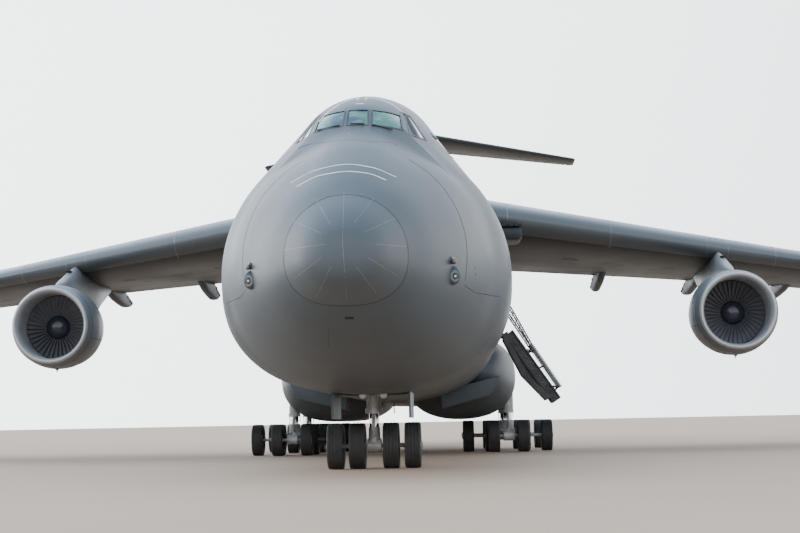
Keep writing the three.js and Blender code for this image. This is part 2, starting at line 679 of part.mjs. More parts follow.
const RUDDER = { share: 0.72, low: 10.75, high: 18.3, gap: 0.05, pin: 0.06, fall: 0.045 };
function finAt(z) {
  const share = (z - FIN.low) / (FIN.high - FIN.low);
  return {
    z,
    lead: FIN.lead + share * (FIN.leadTop - FIN.lead),
    chord: FIN.chord + share * (FIN.chordTop - FIN.chord),
    ratio: 0.13,
  };
}
const finRing = ({ z, lead, chord, ratio }) =>
  foil(ratio, 0).map(([f, h]) => at(h * chord, lead + f * chord, z));
const rudderLine = (z) => finAt(z).lead + RUDDER.share * finAt(z).chord;
function rudderZone(grow, ahead = grow) {
  const [a, b] = [RUDDER.low - 2 * grow, RUDDER.high + 2 * grow];
  const back = grow ? b : b - RUDDER.fall * (80 - rudderLine(b));
  return acrossX([[rudderLine(a) - ahead, a], [80, a], [80, back], [rudderLine(b) - ahead, b]], -2, 2);
}
const wholeFin = loft([finRing(finAt(FIN.low)), finRing(finAt(FIN.high))])
  .subtract(bodyTouch)
  .subtract(bullet(TOUCH))
  .subtract(joined(halfPlane, halfPlane.mirror([1, 0, 0])).translate([0, 0, -TOUCH * M]))
  .intersect(block(-3, 3, 50, 80, 8.4, 19.0));
const [rudderFoot, rudderHead] = [RUDDER.low, RUDDER.high].map((z) => ({
  point: [0, rudderLine(z), z],
  half: halfAt(finAt(z), RUDDER.share),
}));
const rudderParts = controlled(wholeFin, rudderZone, {
  from: rudderFoot.point,
  to: rudderHead.point,
  radii: [rudderFoot.half, rudderHead.half],
  gap: RUDDER.gap,
  ends: 2 * RUDDER.gap,
  pin: RUDDER.pin,
  across: Z,
});

// The pods that house the main gear: station, centre out, half width, centre z, half height.
const POD = [
  [24.4, 2.7, 0.08, 3.1, 0.08],
  [25.2, 2.62, 0.95, 3.0, 0.72],
  [26.8, 2.45, 1.68, 2.92, 1.34],
  [28.8, 2.35, 2.1, 2.88, 1.6],
  [37.4, 2.35, 2.1, 2.88, 1.6],
  [40.4, 2.42, 1.66, 2.96, 1.3],
  [43.0, 2.6, 0.95, 3.12, 0.78],
  [44.8, 2.75, 0.1, 3.3, 0.1],
];
const POD_POINTS = 16;
const LEG = { out: 4.17, radius: 0.2, top: 2.7, hole: 0.27 };
const BOGIES = [30.4, 36.0];
const podSolid = loft(
  POD.map(([station, out, half, z, tall]) =>
    Array.from({ length: POD_POINTS }, (_, k) => {
      const angle = (2 * Math.PI * k) / POD_POINTS;
      const bend = (v) => Math.sign(v) * Math.abs(v) ** 0.86;
      return at(out + half * bend(Math.cos(angle)), station, z + tall * bend(Math.sin(angle)));
    }),
  ),
);
// The scoop on the pod's inner shoulder, open to the front under the body.
const scoop = acrossX(
  [[24.3, 1.95], [28.6, 1.5], [28.6, 2.9], [25.6, 2.95], [24.3, 2.75]],
  1.3,
  3.5,
).subtract(acrossX([[24.0, 2.12], [27.2, 1.9], [27.2, 4.4], [24.0, 4.4]], 1.42, 3.3));
const pod = BOGIES.reduce(
  (made, s) => made.subtract(bar([LEG.out, s, 0], [LEG.out, s, LEG.top], LEG.hole, 12)),
  podSolid.subtract(acrossX([[24.0, 2.12], [27.2, 1.9], [27.2, 4.4], [24.0, 4.4]], 1.42, 3.3)).add(
    scoop,
  ),
).subtract(bodyTouch);

// Wheels. A flat of each tyre stands on the ground, so the axle is a little lower than the tread's radius.
const WHEEL = { radius: 0.632, half: 0.215, sides: 12, axle: 0.06, bore: 0.063 };
const AXLE_Z = WHEEL.radius * Math.cos(Math.PI / WHEEL.sides);
// A pair of tyres on one hub, about X. The hub is bored for a fixed axle or is the axle itself.
function wheelPair(spread, bored) {
  const { radius, half } = WHEEL;
  const end = spread + half;
  const inner = spread - half;
  const hub = bored ? WHEEL.bore : 0;
  const side = [[end, 0.47], [end - 0.07, radius], [inner + 0.07, radius], [inner, 0.47],
    [inner, bored ? 0.16 : WHEEL.axle]];
  const profile = [
    [end, hub],
    ...side,
    ...side.map(([x, r]) => [-x, r]).reverse(),
    [-end, hub],
    ...(bored ? [[end, hub]] : []),
  ];
  return solid(
    new THREE.LatheGeometry(
      profile.map(([x, r]) => new THREE.Vector2(r * M, x * M)),
      WHEEL.sides,
      Math.PI / WHEEL.sides,
    ).rotateZ(-Math.PI / 2),
  );
}

// The bogie: a leg, a beam, one axle ahead for a pair, and one behind for two pairs.
const BOGIE = { reach: 0.825, front: 0.56, pair: 1.105, spread: 0.432 };
function local(made) {
  return made.translate([0, (LENGTH / 2) * M, 0]);
}
const lug = (s) => bar([-0.2, s, AXLE_Z], [0.2, s, AXLE_Z], 0.19, 10);
const axleEnd = BOGIE.pair + BOGIE.spread + WHEEL.half;
const caps = (end, s) =>
  joined(
    ...[-1, 1].map((side) =>
      bar([side * (end + TOUCH), s, AXLE_Z], [side * (end + 0.06), s, AXLE_Z], 0.13, 8),
    ),
  );
const bogie = local(
  joined(
    block(-0.17, 0.17, -BOGIE.reach, BOGIE.reach, AXLE_Z - 0.14, AXLE_Z + 0.2),
    lug(-BOGIE.reach),
    bar([-axleEnd - 0.05, BOGIE.reach, AXLE_Z], [axleEnd + 0.05, BOGIE.reach, AXLE_Z], WHEEL.axle),
    caps(axleEnd, BOGIE.reach),
    bar([0, 0, AXLE_Z + 0.1], [0, 0, 1.2], 0.26),
    bar([0, 0, 1.1], [0, 0, LEG.top - TOUCH], LEG.radius),
  ).subtract(bar([-0.4, -BOGIE.reach, AXLE_Z], [0.4, -BOGIE.reach, AXLE_Z], WHEEL.bore, WHEEL.sides)),
);

// The nose leg: a cylinder with a fork of links, and one axle for two pairs.
const NOSE_PAIR = { out: 0.74, spread: 0.29 };
const noseAxle = NOSE_PAIR.out + NOSE_PAIR.spread + WHEEL.half;
const noseLeg = local(
  joined(
    bar([0, 0, AXLE_Z], [0, 0, NOSE_LEG.bayRoof - TOUCH], 0.15, 10),
    bar([0, 0, 1.35], [0, 0, 2.2], 0.21, 10),
    bar([-0.2, 0, AXLE_Z], [0.2, 0, AXLE_Z], 0.19, 10),
    bar([-noseAxle - 0.05, 0, AXLE_Z], [noseAxle + 0.05, 0, AXLE_Z], WHEEL.axle),
    caps(noseAxle, 0),
    block(-0.09, 0.09, -0.42, -0.1, 0.8, 0.92),
    block(-0.09, 0.09, -0.42, -0.34, 0.85, 1.45),
    block(-0.09, 0.09, -0.42, -0.1, 1.36, 1.46),
  ),
);
const noseDoor = block(
  NOSE_LEG.bayHalf,
  NOSE_LEG.bayHalf + 0.05,
  NOSE_LEG.bayFront,
  NOSE_LEG.bayBack,
  1.33,
  2.4,
).subtract(bodyTouch);

// The crew door: a curved panel with the stairs on its inner face, drawn closed and turned about its hinge.
const crewPanel = body
  .subtract(bodyLoft(-CREW.skin, 8, 40))
  .intersect(
    block(2.2, 4.6, CREW.station - CREW.half + EDGE, CREW.station + CREW.half - EDGE,
      CREW.hinge, CREW.head - EDGE),
  )
  .add(crewPins);
const STAIR = { half: 0.42, steps: 8, first: 0.2, last: 2.1, deep: 0.2, railTop: 1.75, railOut: 0.75 };
// Inside the closed door, between two depths under the body's surface and two heights above the sill.
const withinDoor = (s0, s1, near, far, low, high) =>
  block(2, 4.6, s0, s1, CREW.sill + low, CREW.sill + high)
    .intersect(bodyLoft(-near, 8, 40))
    .subtract(bodyLoft(-far, 8, 40));
const inside = CREW.skin + TOUCH;
function stairSide(side) {
  const s = CREW.station + side * STAIR.half;
  const [face, x] = [crewHinge[0] - 0.2, crewHinge[0] - STAIR.railOut];
  const post = (from, to) => bar(from, to, 0.035, 4);
  return joined(
    withinDoor(s - 0.03, s + 0.03, inside, inside + STAIR.deep, 0.08, 2.2),
    post([x, s, CREW.sill + 0.15], [x, s, CREW.sill + STAIR.railTop]),
    post([x, s, CREW.sill + 0.17], [face, s, CREW.sill + 0.3]),
    post([x, s, CREW.sill + STAIR.railTop - 0.03], [face + 0.05, s, CREW.sill + STAIR.railTop]),
  );
}
const treads = Array.from({ length: STAIR.steps }, (_, k) => {
  const z = STAIR.first + (k * (STAIR.last - STAIR.first)) / (STAIR.steps - 1);
  const [a, b] = [CREW.station - STAIR.half, CREW.station + STAIR.half];
  return withinDoor(a, b, inside + 0.04, inside + STAIR.deep, z, z + 0.03);
});
const stairs = joined(stairSide(-1), stairSide(1), ...treads);
function opened(made) {
  return made
    .translate([-crewHinge[0] * M, 0, -crewHinge[1] * M])
    .rotate([0, CREW.open, 0])
    .translate([crewHinge[0] * M, 0, crewHinge[1] * M]);
}

// Everything put together.
const plane = new THREE.Group();
function add(name, made, look, parent = plane) {
  const mesh = new THREE.Mesh(geometryOf(made), finish[look]());
  mesh.name = name;
  parent.add(mesh);
  return mesh;
}
// A piece on the port side and its mirror image on the starboard side.
function addBoth(name, made, look) {
  const geometry = geometryOf(made);
  for (const [side, hand] of [["port", 1], ["starboard", -1]]) {
    const mesh = new THREE.Mesh(geometry, finish[look]());
    mesh.name = `${name}_${side}`;
    mesh.scale.x = hand;
    plane.add(mesh);
  }
}

add("forward_body", foreBody, "body");
add("middle_body", midBody, "body");
add("aft_body", aftBody, "body");
add("nose_visor", visor, "body");
add("radome", radome, "dome");
add("flight_deck_glass", glassBand, "glass");
add("forward_ramp", foreRamp, "floor");
add("aft_ramp", aftRamp, "floor");
addBoth("aft_door", petal, "body");
add("crew_door", opened(crewPanel), "body");
add("crew_stairs", opened(stairs), "door");

addBoth("wing", wing, "wing");
addBoth("flap", flap, "wing");
addBoth("aileron", aileronParts.moving, "wing");
add("fin", rudderParts.fixed, "wing");
add("rudder", rudderParts.moving, "wing");
add("tailplane", tailplane, "wing");
addBoth("elevator", elevatorParts.moving, "wing");

addBoth("gear_pod", pod, "body");
addBoth("nose_gear_door", noseDoor, "body");

ENGINES.forEach(([x, lip, z], k) => {
  const engine = new THREE.Group();
  engine.position.copy(at(x, lip, z));
  plane.add(engine);
  add(`cowl_${k + 1}`, cowl, "cowl", engine);
  add(`fan_${k + 1}`, fan, "fan", engine);
  const strut = pylon(Math.abs(x), lip, z);
  add(`pylon_${k + 1}`, strut, "cowl").scale.x = Math.sign(x);
});

// Wheels and the leg that carries them, in a group at the leg's foot.
const narrowPair = wheelPair(NOSE_PAIR.spread, true);
const rearPair = wheelPair(BOGIE.spread, true);
const frontPair = wheelPair(BOGIE.front, false);
function gear(name, x, station, leg, wheels) {
  const group = new THREE.Group();
  group.position.copy(at(x, station, 0));
  plane.add(group);
  add(name, leg, "gear", group);
  wheels.forEach(([label, pair, out, back]) => {
    add(`${name}_wheels_${label}`, pair, "tyre", group).position.set(out * M, back * M, AXLE_Z * M);
  });
}
gear("nose_leg", 0, NOSE_LEG.station, noseLeg, [
  ["port", narrowPair, NOSE_PAIR.out, 0],
  ["starboard", narrowPair, -NOSE_PAIR.out, 0],
]);
BOGIES.forEach((station, row) => {
  for (const [side, hand] of [["port", 1], ["starboard", -1]]) {
    gear(`bogie_${["forward", "aft"][row]}_${side}`, hand * LEG.out, station, bogie, [
      ["front", frontPair, 0, -BOGIE.reach],
      ["outer", rearPair, hand * BOGIE.pair, BOGIE.reach],
      ["inner", rearPair, -hand * BOGIE.pair, BOGIE.reach],
    ]);
  }
});

export default plane;
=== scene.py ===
import bisect
import math
import bmesh
import bpy
from mathutils import Matrix, Vector
from mathutils.bvhtree import BVHTree


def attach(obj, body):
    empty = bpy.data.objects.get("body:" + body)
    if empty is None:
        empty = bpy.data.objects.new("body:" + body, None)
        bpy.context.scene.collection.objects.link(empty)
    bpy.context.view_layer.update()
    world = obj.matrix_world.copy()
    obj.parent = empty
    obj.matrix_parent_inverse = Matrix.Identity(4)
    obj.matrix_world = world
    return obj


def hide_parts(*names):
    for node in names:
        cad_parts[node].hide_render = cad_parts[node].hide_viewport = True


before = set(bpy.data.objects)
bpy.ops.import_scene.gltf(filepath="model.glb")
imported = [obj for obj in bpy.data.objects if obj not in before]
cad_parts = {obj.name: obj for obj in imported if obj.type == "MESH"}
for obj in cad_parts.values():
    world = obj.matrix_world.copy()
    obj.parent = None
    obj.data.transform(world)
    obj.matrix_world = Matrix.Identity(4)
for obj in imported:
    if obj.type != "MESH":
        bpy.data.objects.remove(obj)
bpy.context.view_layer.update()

# Looks for a four-engine military transport at half size. Lengths below are the real aircraft's, in
# metres: distance to port, station (distance aft of the nose tip) and height.
SCALE = 0.5
LENGTH = 75.53
VISOR_GAP = 0.006
PICTURE = (800, 533)
RADOME_BACK = 1.25
FORE_JOINT = 18.0
AFT_JOINT = 45.6
BODY_END = 70.3
SIDES = (("port", 1), ("starboard", -1))
MIRROR = Matrix.Scale(-1, 4, (1, 0, 0))
UP = Vector((0, 0, 1))
AHEAD = Vector((0, -1, 0))
CAMERA = {"place": (2.267, -30.974, 1.239), "left": 2.041, "up": 5.658, "roll": -1.116, "focal": 1563.1}


def at(x, station, z):
    return Vector((x * SCALE, (station - LENGTH / 2) * SCALE, z * SCALE))


def step(x=0.0, station=0.0, z=0.0):
    return Vector((x, station, z)) * SCALE


def even(a, b, count):
    """Numbers from a to b, both included, in a count of equal steps."""
    return [a + (b - a) * k / count for k in range(count + 1)]


def circle(count):
    """The cosine and sine of places spaced evenly round a circle."""
    return [(math.cos(turn), math.sin(turn)) for turn in even(0, 2 * math.pi, count)[:-1]]


def bent(value, power):
    return math.copysign(abs(value) ** power, value)


# Camera, light and floor.
def add_camera():
    data = bpy.data.cameras.new("camera")
    data.sensor_fit = "HORIZONTAL"
    data.sensor_width = 36
    data.lens = CAMERA["focal"] / PICTURE[0] * 36
    data.clip_end = 1000
    camera = bpy.data.objects.new("camera", data)
    bpy.context.collection.objects.link(camera)
    turn = Matrix()
    for angle, axis in ((CAMERA["left"], "Z"), (90 + CAMERA["up"], "X"), (CAMERA["roll"], "Z")):
        turn @= Matrix.Rotation(math.radians(angle), 4, axis)
    camera.matrix_world = Matrix.Translation(at(*CAMERA["place"])) @ turn
    bpy.context.scene.camera = camera
    bpy.context.view_layer.update()
    return camera


camera = add_camera()


def seen_along(x, y):
    """The camera's place, and the direction of the picture's point x, y from it."""
    off = Vector((x - PICTURE[0] / 2, PICTURE[1] / 2 - y, -CAMERA["focal"]))
    return camera.matrix_world.translation, (camera.matrix_world.to_3x3() @ off).normalized()


def add_sky():
    """A bright overcast sky, white near the ground, bluer and dimmer overhead, brightest on the left."""
    world = bpy.data.worlds.new("overcast")
    bpy.context.scene.world = world
    world.use_nodes = True
    tree = world.node_tree
    place = node(tree, "TexCoord").outputs["Generated"]
    height = node(tree, "SeparateXYZ", {0: place}).outputs["Z"]
    bright_side = Vector((-0.75, 0.55, 0.35)).normalized()
    toward = node(tree, "VectorMath", {0: place, 1: bright_side}, operation="DOT_PRODUCT").outputs["Value"]
    fill(tree, tree.nodes["Background"], {
        "Color": ramp(tree, height, ((0.25, (0.93, 0.965, 1.0)), (0.75, (0.38, 0.50, 0.64)))),
        "Strength": between(tree, toward, 0.0, 1.0, 2.55, 4.7, interpolation_type="SMOOTHSTEP"),
    })


def add_floor():
    fresh()
    bpy.ops.mesh.primitive_circle_add(vertices=96, radius=900, fill_type="NGON")
    floor = bpy.context.object
    floor.name = "floor"
    floor.data.materials.append(concrete())


# Materials. Every pattern reads Object coordinates.
def fill(tree, made, inputs):
    """Links a node's inputs, or sets their values."""
    for key, value in inputs.items():
        socket = made.inputs[key]
        if isinstance(value, bpy.types.NodeSocket):
            tree.links.new(value, socket)
        elif socket.type == "RGBA":
            socket.default_value = (*value, 1)
        else:
            socket.default_value = value


def node(tree, kind, inputs=(), **settings):
    made = tree.nodes.new("ShaderNode" + kind)
    for name, value in settings.items():
        setattr(made, name, value)
    fill(tree, made, dict(inputs))
    return made


def nodes_of(name):
    material = bpy.data.materials.new(name)
    material.use_nodes = True
    tree = material.node_tree
    return material, tree, tree.nodes["Principled BSDF"]


def noise(tree, scale, detail, **more):
    """Noise on Object coordinates, with one scale or a scale along each axis."""
    place = node(tree, "TexCoord").outputs["Object"]
    scale = scale if isinstance(scale, tuple) else (scale,) * 3
    place = node(tree, "Mapping", {"Vector": place, "Scale": scale}).outputs["Vector"]
    more = {name.title(): value for name, value in more.items()}
    return node(tree, "TexNoise", {"Vector": place, "Scale": 1.0, "Detail": detail, **more}).outputs["Fac"]


def ramp(tree, fac, stops):
    """A colour ramp through stops of (place, colour); its two ends come first."""
    made = node(tree, "ValToRGB", {"Fac": fac})
    found = made.color_ramp.elements
    for k, (place, colour) in enumerate(stops):
        stop = found[k] if k < 2 else found.new(place)
        stop.position = place
        stop.color = (*colour, 1)
    return made.outputs["Color"]


def blended(tree, fac, a, b, share=None):
    """Two colours mixed; each is a colour or a socket. The share limits how far the second shows."""
    if share is not None:
        fac = node(tree, "Math", {0: fac, 1: share}, operation="MULTIPLY").outputs[0]
    return node(tree, "Mix", {"Factor": fac, "A": a, "B": b}, data_type="RGBA").outputs["Result"]


def between(tree, value, low, high, to_low=0.0, to_high=1.0, **settings):
    ends = zip(("From Min", "From Max", "To Min", "To Max"), (low, high, to_low, to_high))
    return node(tree, "MapRange", {"Value": value, **dict(ends)}, **settings).outputs["Result"]


def raised(tree, height, strength, distance):
    inputs = {"Height": height, "Strength": strength, "Distance": distance}
    return node(tree, "Bump", inputs).outputs["Normal"]


def darker(colour, share):
    return tuple(share * c for c in colour)


def paint(name, light, dark, rough, streak=0.35, panels=None, gloss=0.42):
    """Matt aircraft paint: soft patches of wear, rain streaks down the sides, and panel joints if given
    as (order of axes, panel width, row height)."""
    material, tree, shader = nodes_of(name)
    clouds = noise(tree, 0.5, 6.0, roughness=0.6)
    runs = noise(tree, (2.2, 2.2, 0.25), 5.0, roughness=0.7)
    colour = blended(tree, between(tree, clouds, 0.35, 0.68), dark, light)
    colour = blended(tree, between(tree, runs, 0.52, 0.75), colour, darker(dark, 0.72), streak)
    height = noise(tree, 90.0, 2.0)
    if panels:
        lines = panel_joints(tree, *panels)
        colour = blended(tree, lines, colour, darker(dark, 0.6), 0.55)
        height = node(tree, "Math", {0: lines, 1: -3.0, 2: height}, operation="MULTIPLY_ADD").outputs[0]
    fill(tree, shader, {
        "Base Color": colour,
        "Roughness": between(tree, clouds, 0.3, 0.7, rough - 0.06, rough + 0.07),
        "Specular IOR Level": gloss,
        "Normal": raised(tree, height, 0.12, 0.001),
    })
    return material


def panel_joints(tree, order, width, row):
    """A mask of thin joints between staggered panels, seen along the axis that the order leaves out."""
    split = node(tree, "SeparateXYZ", {0: node(tree, "TexCoord").outputs["Object"]})
    flat = node(tree, "CombineXYZ", {"X": split.outputs[order[0]], "Y": split.outputs[order[1]]})
    sizes = {"Scale": 1.0, "Mortar Size": 0.0025, "Mortar Smooth": 0.1, "Brick Width": width,
             "Row Height": row}
    return node(tree, "TexBrick", {"Vector": flat.outputs[0], **sizes}, offset=0.5).outputs["Fac"]


def plain(name, colour, rough=0.5, metal=0.0, spots=6.0, bump=0.1, worn=None):
    """A bare finish for small parts, with fine mottling, and a worn colour on its patches if given."""
    material, tree, shader = nodes_of(name)
    mottle = noise(tree, spots, 4.0)
    fill(tree, shader, {
        "Base Color": blended(tree, between(tree, mottle, 0.4, 0.65), colour, worn or darker(colour, 0.82)),
        "Roughness": between(tree, mottle, 0.3, 0.7, max(0.02, rough - 0.08), rough + 0.08),
        "Metallic": metal,
        "Normal": raised(tree, noise(tree, spots * 12, 2.0), bump, 0.0006),
    })
    return material


def concrete():
    material, tree, shader = nodes_of("pale_floor")
    clouds = noise(tree, 0.3, 8.0)
    fill(tree, shader, {
        "Base Color": blended(tree, clouds, (0.40, 0.285, 0.20), (0.46, 0.33, 0.235)),
        "Roughness": 0.85,
        "Normal": raised(tree, noise(tree, 14.0, 4.0), 0.15, 0.002),
    })
    return material


def glass_with_painted_reflection():
    """Coated glass with painted reflections: bands of green, blue and violet laid out by place on the glass,
    where the real coating looks green from one side and blue or violet from the other.
    """
    material, tree, shader = nodes_of("glass_with_painted_reflection")
    # The lighter green and teal bands are painted reflection colours.
    reflection_bands = noise(tree, (3.2, 1.0, 5.0), 2.5, distortion=1.4)
    stops = ((0.30, (0.015, 0.03, 0.10)), (0.72, (0.16, 0.24, 0.25)), (0.40, (0.02, 0.10, 0.12)),
             (0.47, (0.06, 0.20, 0.10)), (0.53, (0.03, 0.15, 0.13)), (0.60, (0.10, 0.22, 0.20)))
    colour = ramp(tree, reflection_bands, stops)
    fill(tree, shader, {"Base Color": colour, "Roughness": 0.12, "Specular IOR Level": 0.35})
    return material


BODY_GREY = ((0.064, 0.079, 0.091), (0.052, 0.065, 0.076))
# The wing's grey is darker than the body's: painted shade of the wing's underside, also used on the fin and
# tail.
WING_SHADE_GREY = ((0.038, 0.044, 0.050), (0.031, 0.036, 0.042))
materials = {
    "skin": paint("skin_paint", *BODY_GREY, 0.43, panels=(("Y", "Z"), 1.9, 0.72), gloss=0.34),
    "nose": paint("nose_paint", *BODY_GREY, 0.43, streak=0.15, gloss=0.34),
    "dome": paint("radome_paint", (0.066, 0.080, 0.091), (0.056, 0.069, 0.080), 0.46, streak=0.1),
    "wing": paint("wing_finish", *WING_SHADE_GREY, 0.44, panels=(("X", "Y"), 1.25, 0.6), streak=0.1, gloss=0.14),
    # The slat's lighter, bluer grey is a painted highlight where the leading edge faces the sky.
    "slat": paint("slat_painted_highlight", (0.078, 0.092, 0.104), (0.066, 0.079, 0.090), 0.36, streak=0.1),
    "fin": paint("fin_paint", *WING_SHADE_GREY, 0.4, panels=(("Y", "Z"), 1.1, 0.5), streak=0.2),
    "cowl": paint("cowl_finish", (0.15, 0.16, 0.174), (0.122, 0.131, 0.143), 0.36, streak=0.2, gloss=0.3),
    "pylon": paint("pylon_paint", (0.25, 0.262, 0.275), (0.20, 0.212, 0.225), 0.4),
    "lip": plain("intake_lip", (0.40, 0.405, 0.41), 0.3, 0.25, 2.0, 0.02, (0.36, 0.365, 0.37)),
    "liner": plain("intake_liner", (0.34, 0.345, 0.36), 0.45, 0.1, 3.0, 0.03),
    "blade": plain("fan_blades", (0.14, 0.14, 0.16), 0.38, 0.35, 1.5, 0.02, (0.11, 0.11, 0.125)),
    "spinner": plain("spinner_cap", (0.016, 0.018, 0.028), 0.2, 0.0, 2.0, 0.02),
    "core": plain("exhaust_metal", (0.20, 0.17, 0.15), 0.4, 0.9, worn=(0.12, 0.10, 0.10)),
    "tyre": plain("tyre_rubber", (0.022, 0.022, 0.023), 0.75, worn=(0.035, 0.034, 0.032)),
    "hub": plain("wheel_hub", (0.46, 0.47, 0.46), 0.42, 0.1, worn=(0.30, 0.29, 0.27)),
    "gear": plain("gear_enamel", (0.44, 0.45, 0.44), 0.4, 0.1, worn=(0.30, 0.29, 0.27)),
    "chrome": plain("bare_piston", (0.72, 0.72, 0.73), 0.12, 1.0),
    "hold": plain("hold_lining", (0.27, 0.28, 0.265), 0.7, worn=(0.21, 0.22, 0.21)),
    "plate": plain("ramp_plate", (0.17, 0.175, 0.17), 0.55, 0.4, 3.0, worn=(0.11, 0.11, 0.105)),
    # Near-black: painted shade in openings, slots, vents and deep walls, and the black of pipes.
    "dark": plain("black_and_painted_shade", (0.012, 0.012, 0.013), 0.8),
    "seal": plain("seam_seal", (0.055, 0.060, 0.064), 0.7),
    "strip": plain("lightning_strip", (0.15, 0.165, 0.175), 0.45, 0.2),
    "mark": plain("guide_paint", (0.80, 0.81, 0.81), 0.6),
    "stair": plain("stair_frame", (0.030, 0.031, 0.033), 0.5, 0.4),
    "pane": plain("side_glass", (0.44, 0.48, 0.49), 0.15, worn=(0.36, 0.40, 0.41)),
    # Nearly black: painted shade on the open crew door and the stair's side webs, which hang in shadow.
    "hatch": plain("hatch_painted_shade", (0.045, 0.045, 0.046), 0.6, 0.2, worn=(0.03, 0.03, 0.03)),
    "beam": plain("rail_beam", (0.22, 0.235, 0.225), 0.5, 0.3, worn=(0.14, 0.15, 0.145)),
    "tread": plain("stair_tread", (0.075, 0.078, 0.082), 0.5, 0.4, worn=(0.05, 0.05, 0.05)),
    "frame": plain("window_frame", (0.03, 0.032, 0.034), 0.5),
    "lamp": plain("lamp_glass", (0.75, 0.76, 0.74), 0.08, 0.2),
    "glass": glass_with_painted_reflection(),
}


# Solids drawn with Blender's operators.
def fresh():
    if bpy.context.object and bpy.context.object.mode != "OBJECT":
        bpy.ops.object.mode_set(mode="OBJECT")
    bpy.ops.object.select_all(action="DESELECT")


def chosen(piece):
    fresh()
    bpy.context.view_layer.objects.active = piece
    piece.select_set(True)


def drop(*pieces):
    for piece in pieces:
        bpy.data.objects.remove(piece)


def started(name, count):
    fresh()
    bpy.ops.mesh.primitive_circle_add(vertices=count, fill_type="NGON")
    piece = bpy.context.object
    piece.name = name
    bpy.ops.object.mode_set(mode="EDIT")
    mesh = bmesh.from_edit_mesh(piece.data)
    mesh.verts.ensure_lookup_table()
    return piece, mesh


def loft(name, rings):
    """A closed solid: a face on the first ring, extruded and moved onto each ring in turn."""
    piece, mesh = started(name, len(rings[0]))
    last = list(mesh.verts)
    for vert, point in zip(last, rings[0]):
        vert.co = point
    for ring in rings[1:]:
        bpy.ops.mesh.extrude_region_move()
        last = [next(e.other_vert(v) for e in v.link_edges if e.other_vert(v).select) for v in last]
        for vert, point in zip(last, ring):
            vert.co = point
    return closed(piece)


def closed(piece):
    bpy.ops.mesh.select_all(action="SELECT")
    bpy.ops.mesh.remove_doubles(threshold=1e-5)
    bpy.ops.mesh.normals_make_consistent(inside=False)
    bpy.ops.object.mode_set(mode="OBJECT")
    return piece


def turned(name, profile, sides, place=(0, 0, 0), axis=(0, 1, 0)):
    """A closed profile of (distance along, radius) spun about an axis through a place in the model."""
    piece, mesh = started(name, len(profile))
    along = Vector(axis).normalized()
    out = along.orthogonal().normalized()
    for vert, (y, r) in zip(mesh.verts, profile):
        vert.co = Vector(place) + (along * y + out * r) * SCALE
    bmesh.ops.delete(mesh, geom=list(mesh.faces), context="FACES_ONLY")
    bpy.ops.mesh.select_all(action="SELECT")
    bpy.ops.mesh.spin(steps=sides, angle=2 * math.pi, center=place, axis=along)
    return closed(piece)


def prism(name, outline, way):
    """An outline of points, drawn out by one step."""
    return loft(name, [outline, [p + way for p in outline]])


def drawn_back(name, outline, s0, s1):
    return prism(name, [at(x, s0, z) for x, z in outline], at(0, s1, 0) - at(0, s0, 0))


def drawn_across(name, outline, x0, x1):
    return prism(name, [at(x0, s, z) for s, z in outline], step(x1 - x0))


def drawn_up(name, plan, z0, z1):
    return prism(name, [at(x, s, z0) for x, s in plan], step(z=z1) - step(z=z0))


def box_corners(a, b, c, d):
    return [(a, c), (b, c), (b, d), (a, d)]


def block(name, x0, x1, s0, s1, z0, z1, round_off=0.0):
    piece = drawn_back(name, box_corners(x0, x1, z0, z1), s0, s1)
    return bevelled(piece, round_off) if round_off else piece


def bevelled(piece, width, segments=2):
    modifier = piece.modifiers.new("bevel", "BEVEL")
    modifier.width = width * SCALE
    modifier.segments = segments
    modifier.limit_method = "ANGLE"
    modifier.angle_limit = math.radians(40)
    return applied(piece)


def thickened(piece, thickness, offset):
    modifier = piece.modifiers.new("thickness", "SOLIDIFY")
    modifier.thickness = thickness * SCALE
    modifier.offset = offset
    return applied(piece)


def applied(piece):
    chosen(piece)
    for modifier in list(piece.modifiers):
        bpy.ops.object.modifier_apply(modifier=modifier.name)
    return piece


def bar(name, a, b, radius, sides=8, radius_to=None):
    """A round bar between two points of the model, with a radius at each end."""
    fresh()
    line = b - a
    bpy.ops.mesh.primitive_cone_add(
        vertices=sides, radius1=radius * SCALE, depth=line.length,
        radius2=(radius if radius_to is None else radius_to) * SCALE,
    )
    piece = bpy.context.object
    piece.name = name
    turn = UP.rotation_difference(line).to_matrix().to_4x4()
    piece.data.transform(Matrix.Translation((a + b) / 2) @ turn)
    return piece


def bars(rows, x=0.0, station=0.0):
    """Bars from rows of (name, end, end, radius, sides, last radius), with ends counted from a place."""
    return [bar(name, at(x + a[0], station + a[1], a[2]), at(x + b[0], station + b[1], b[2]), *sizes)
            for name, a, b, *sizes in rows]


def cut(piece, tool, how="DIFFERENCE", keep_tool=False):
    modifier = piece.modifiers.new("cut", "BOOLEAN")
    modifier.object = tool
    modifier.operation = how
    modifier.solver = "EXACT"
    applied(piece)
    if not keep_tool:
        drop(tool)
    return piece


def kept(piece, tool):
    return cut(piece, tool, "INTERSECT")


def copied(piece, name, change=None):
    """A copy with its own mesh, moved by a matrix; a mirrored one is turned the right way out."""
    twin = piece.copy()
    twin.data = piece.data.copy()
    twin.name = name
    bpy.context.collection.objects.link(twin)
    if change is not None:
        twin.data.transform(change)
        if change.determinant() < 0:
            twin.data.flip_normals()
    return twin


def joined(name, pieces):
    fresh()
    for piece in pieces:
        piece.select_set(True)
    bpy.context.view_layer.objects.active = pieces[0]
    if len(pieces) > 1:
        bpy.ops.object.join()
    pieces[0].name = name
    pieces[0].data.name = name
    return pieces[0]


def coated(piece, *looks):
    piece.data.materials.clear()
    for look in looks:
        piece.data.materials.append(materials[look])
    return piece


def built(name, **groups):
    """One piece made of groups of parts, each group in the look that it is named for."""
    return joined(name, [coated(joined(look, parts), look) for look, parts in groups.items()])


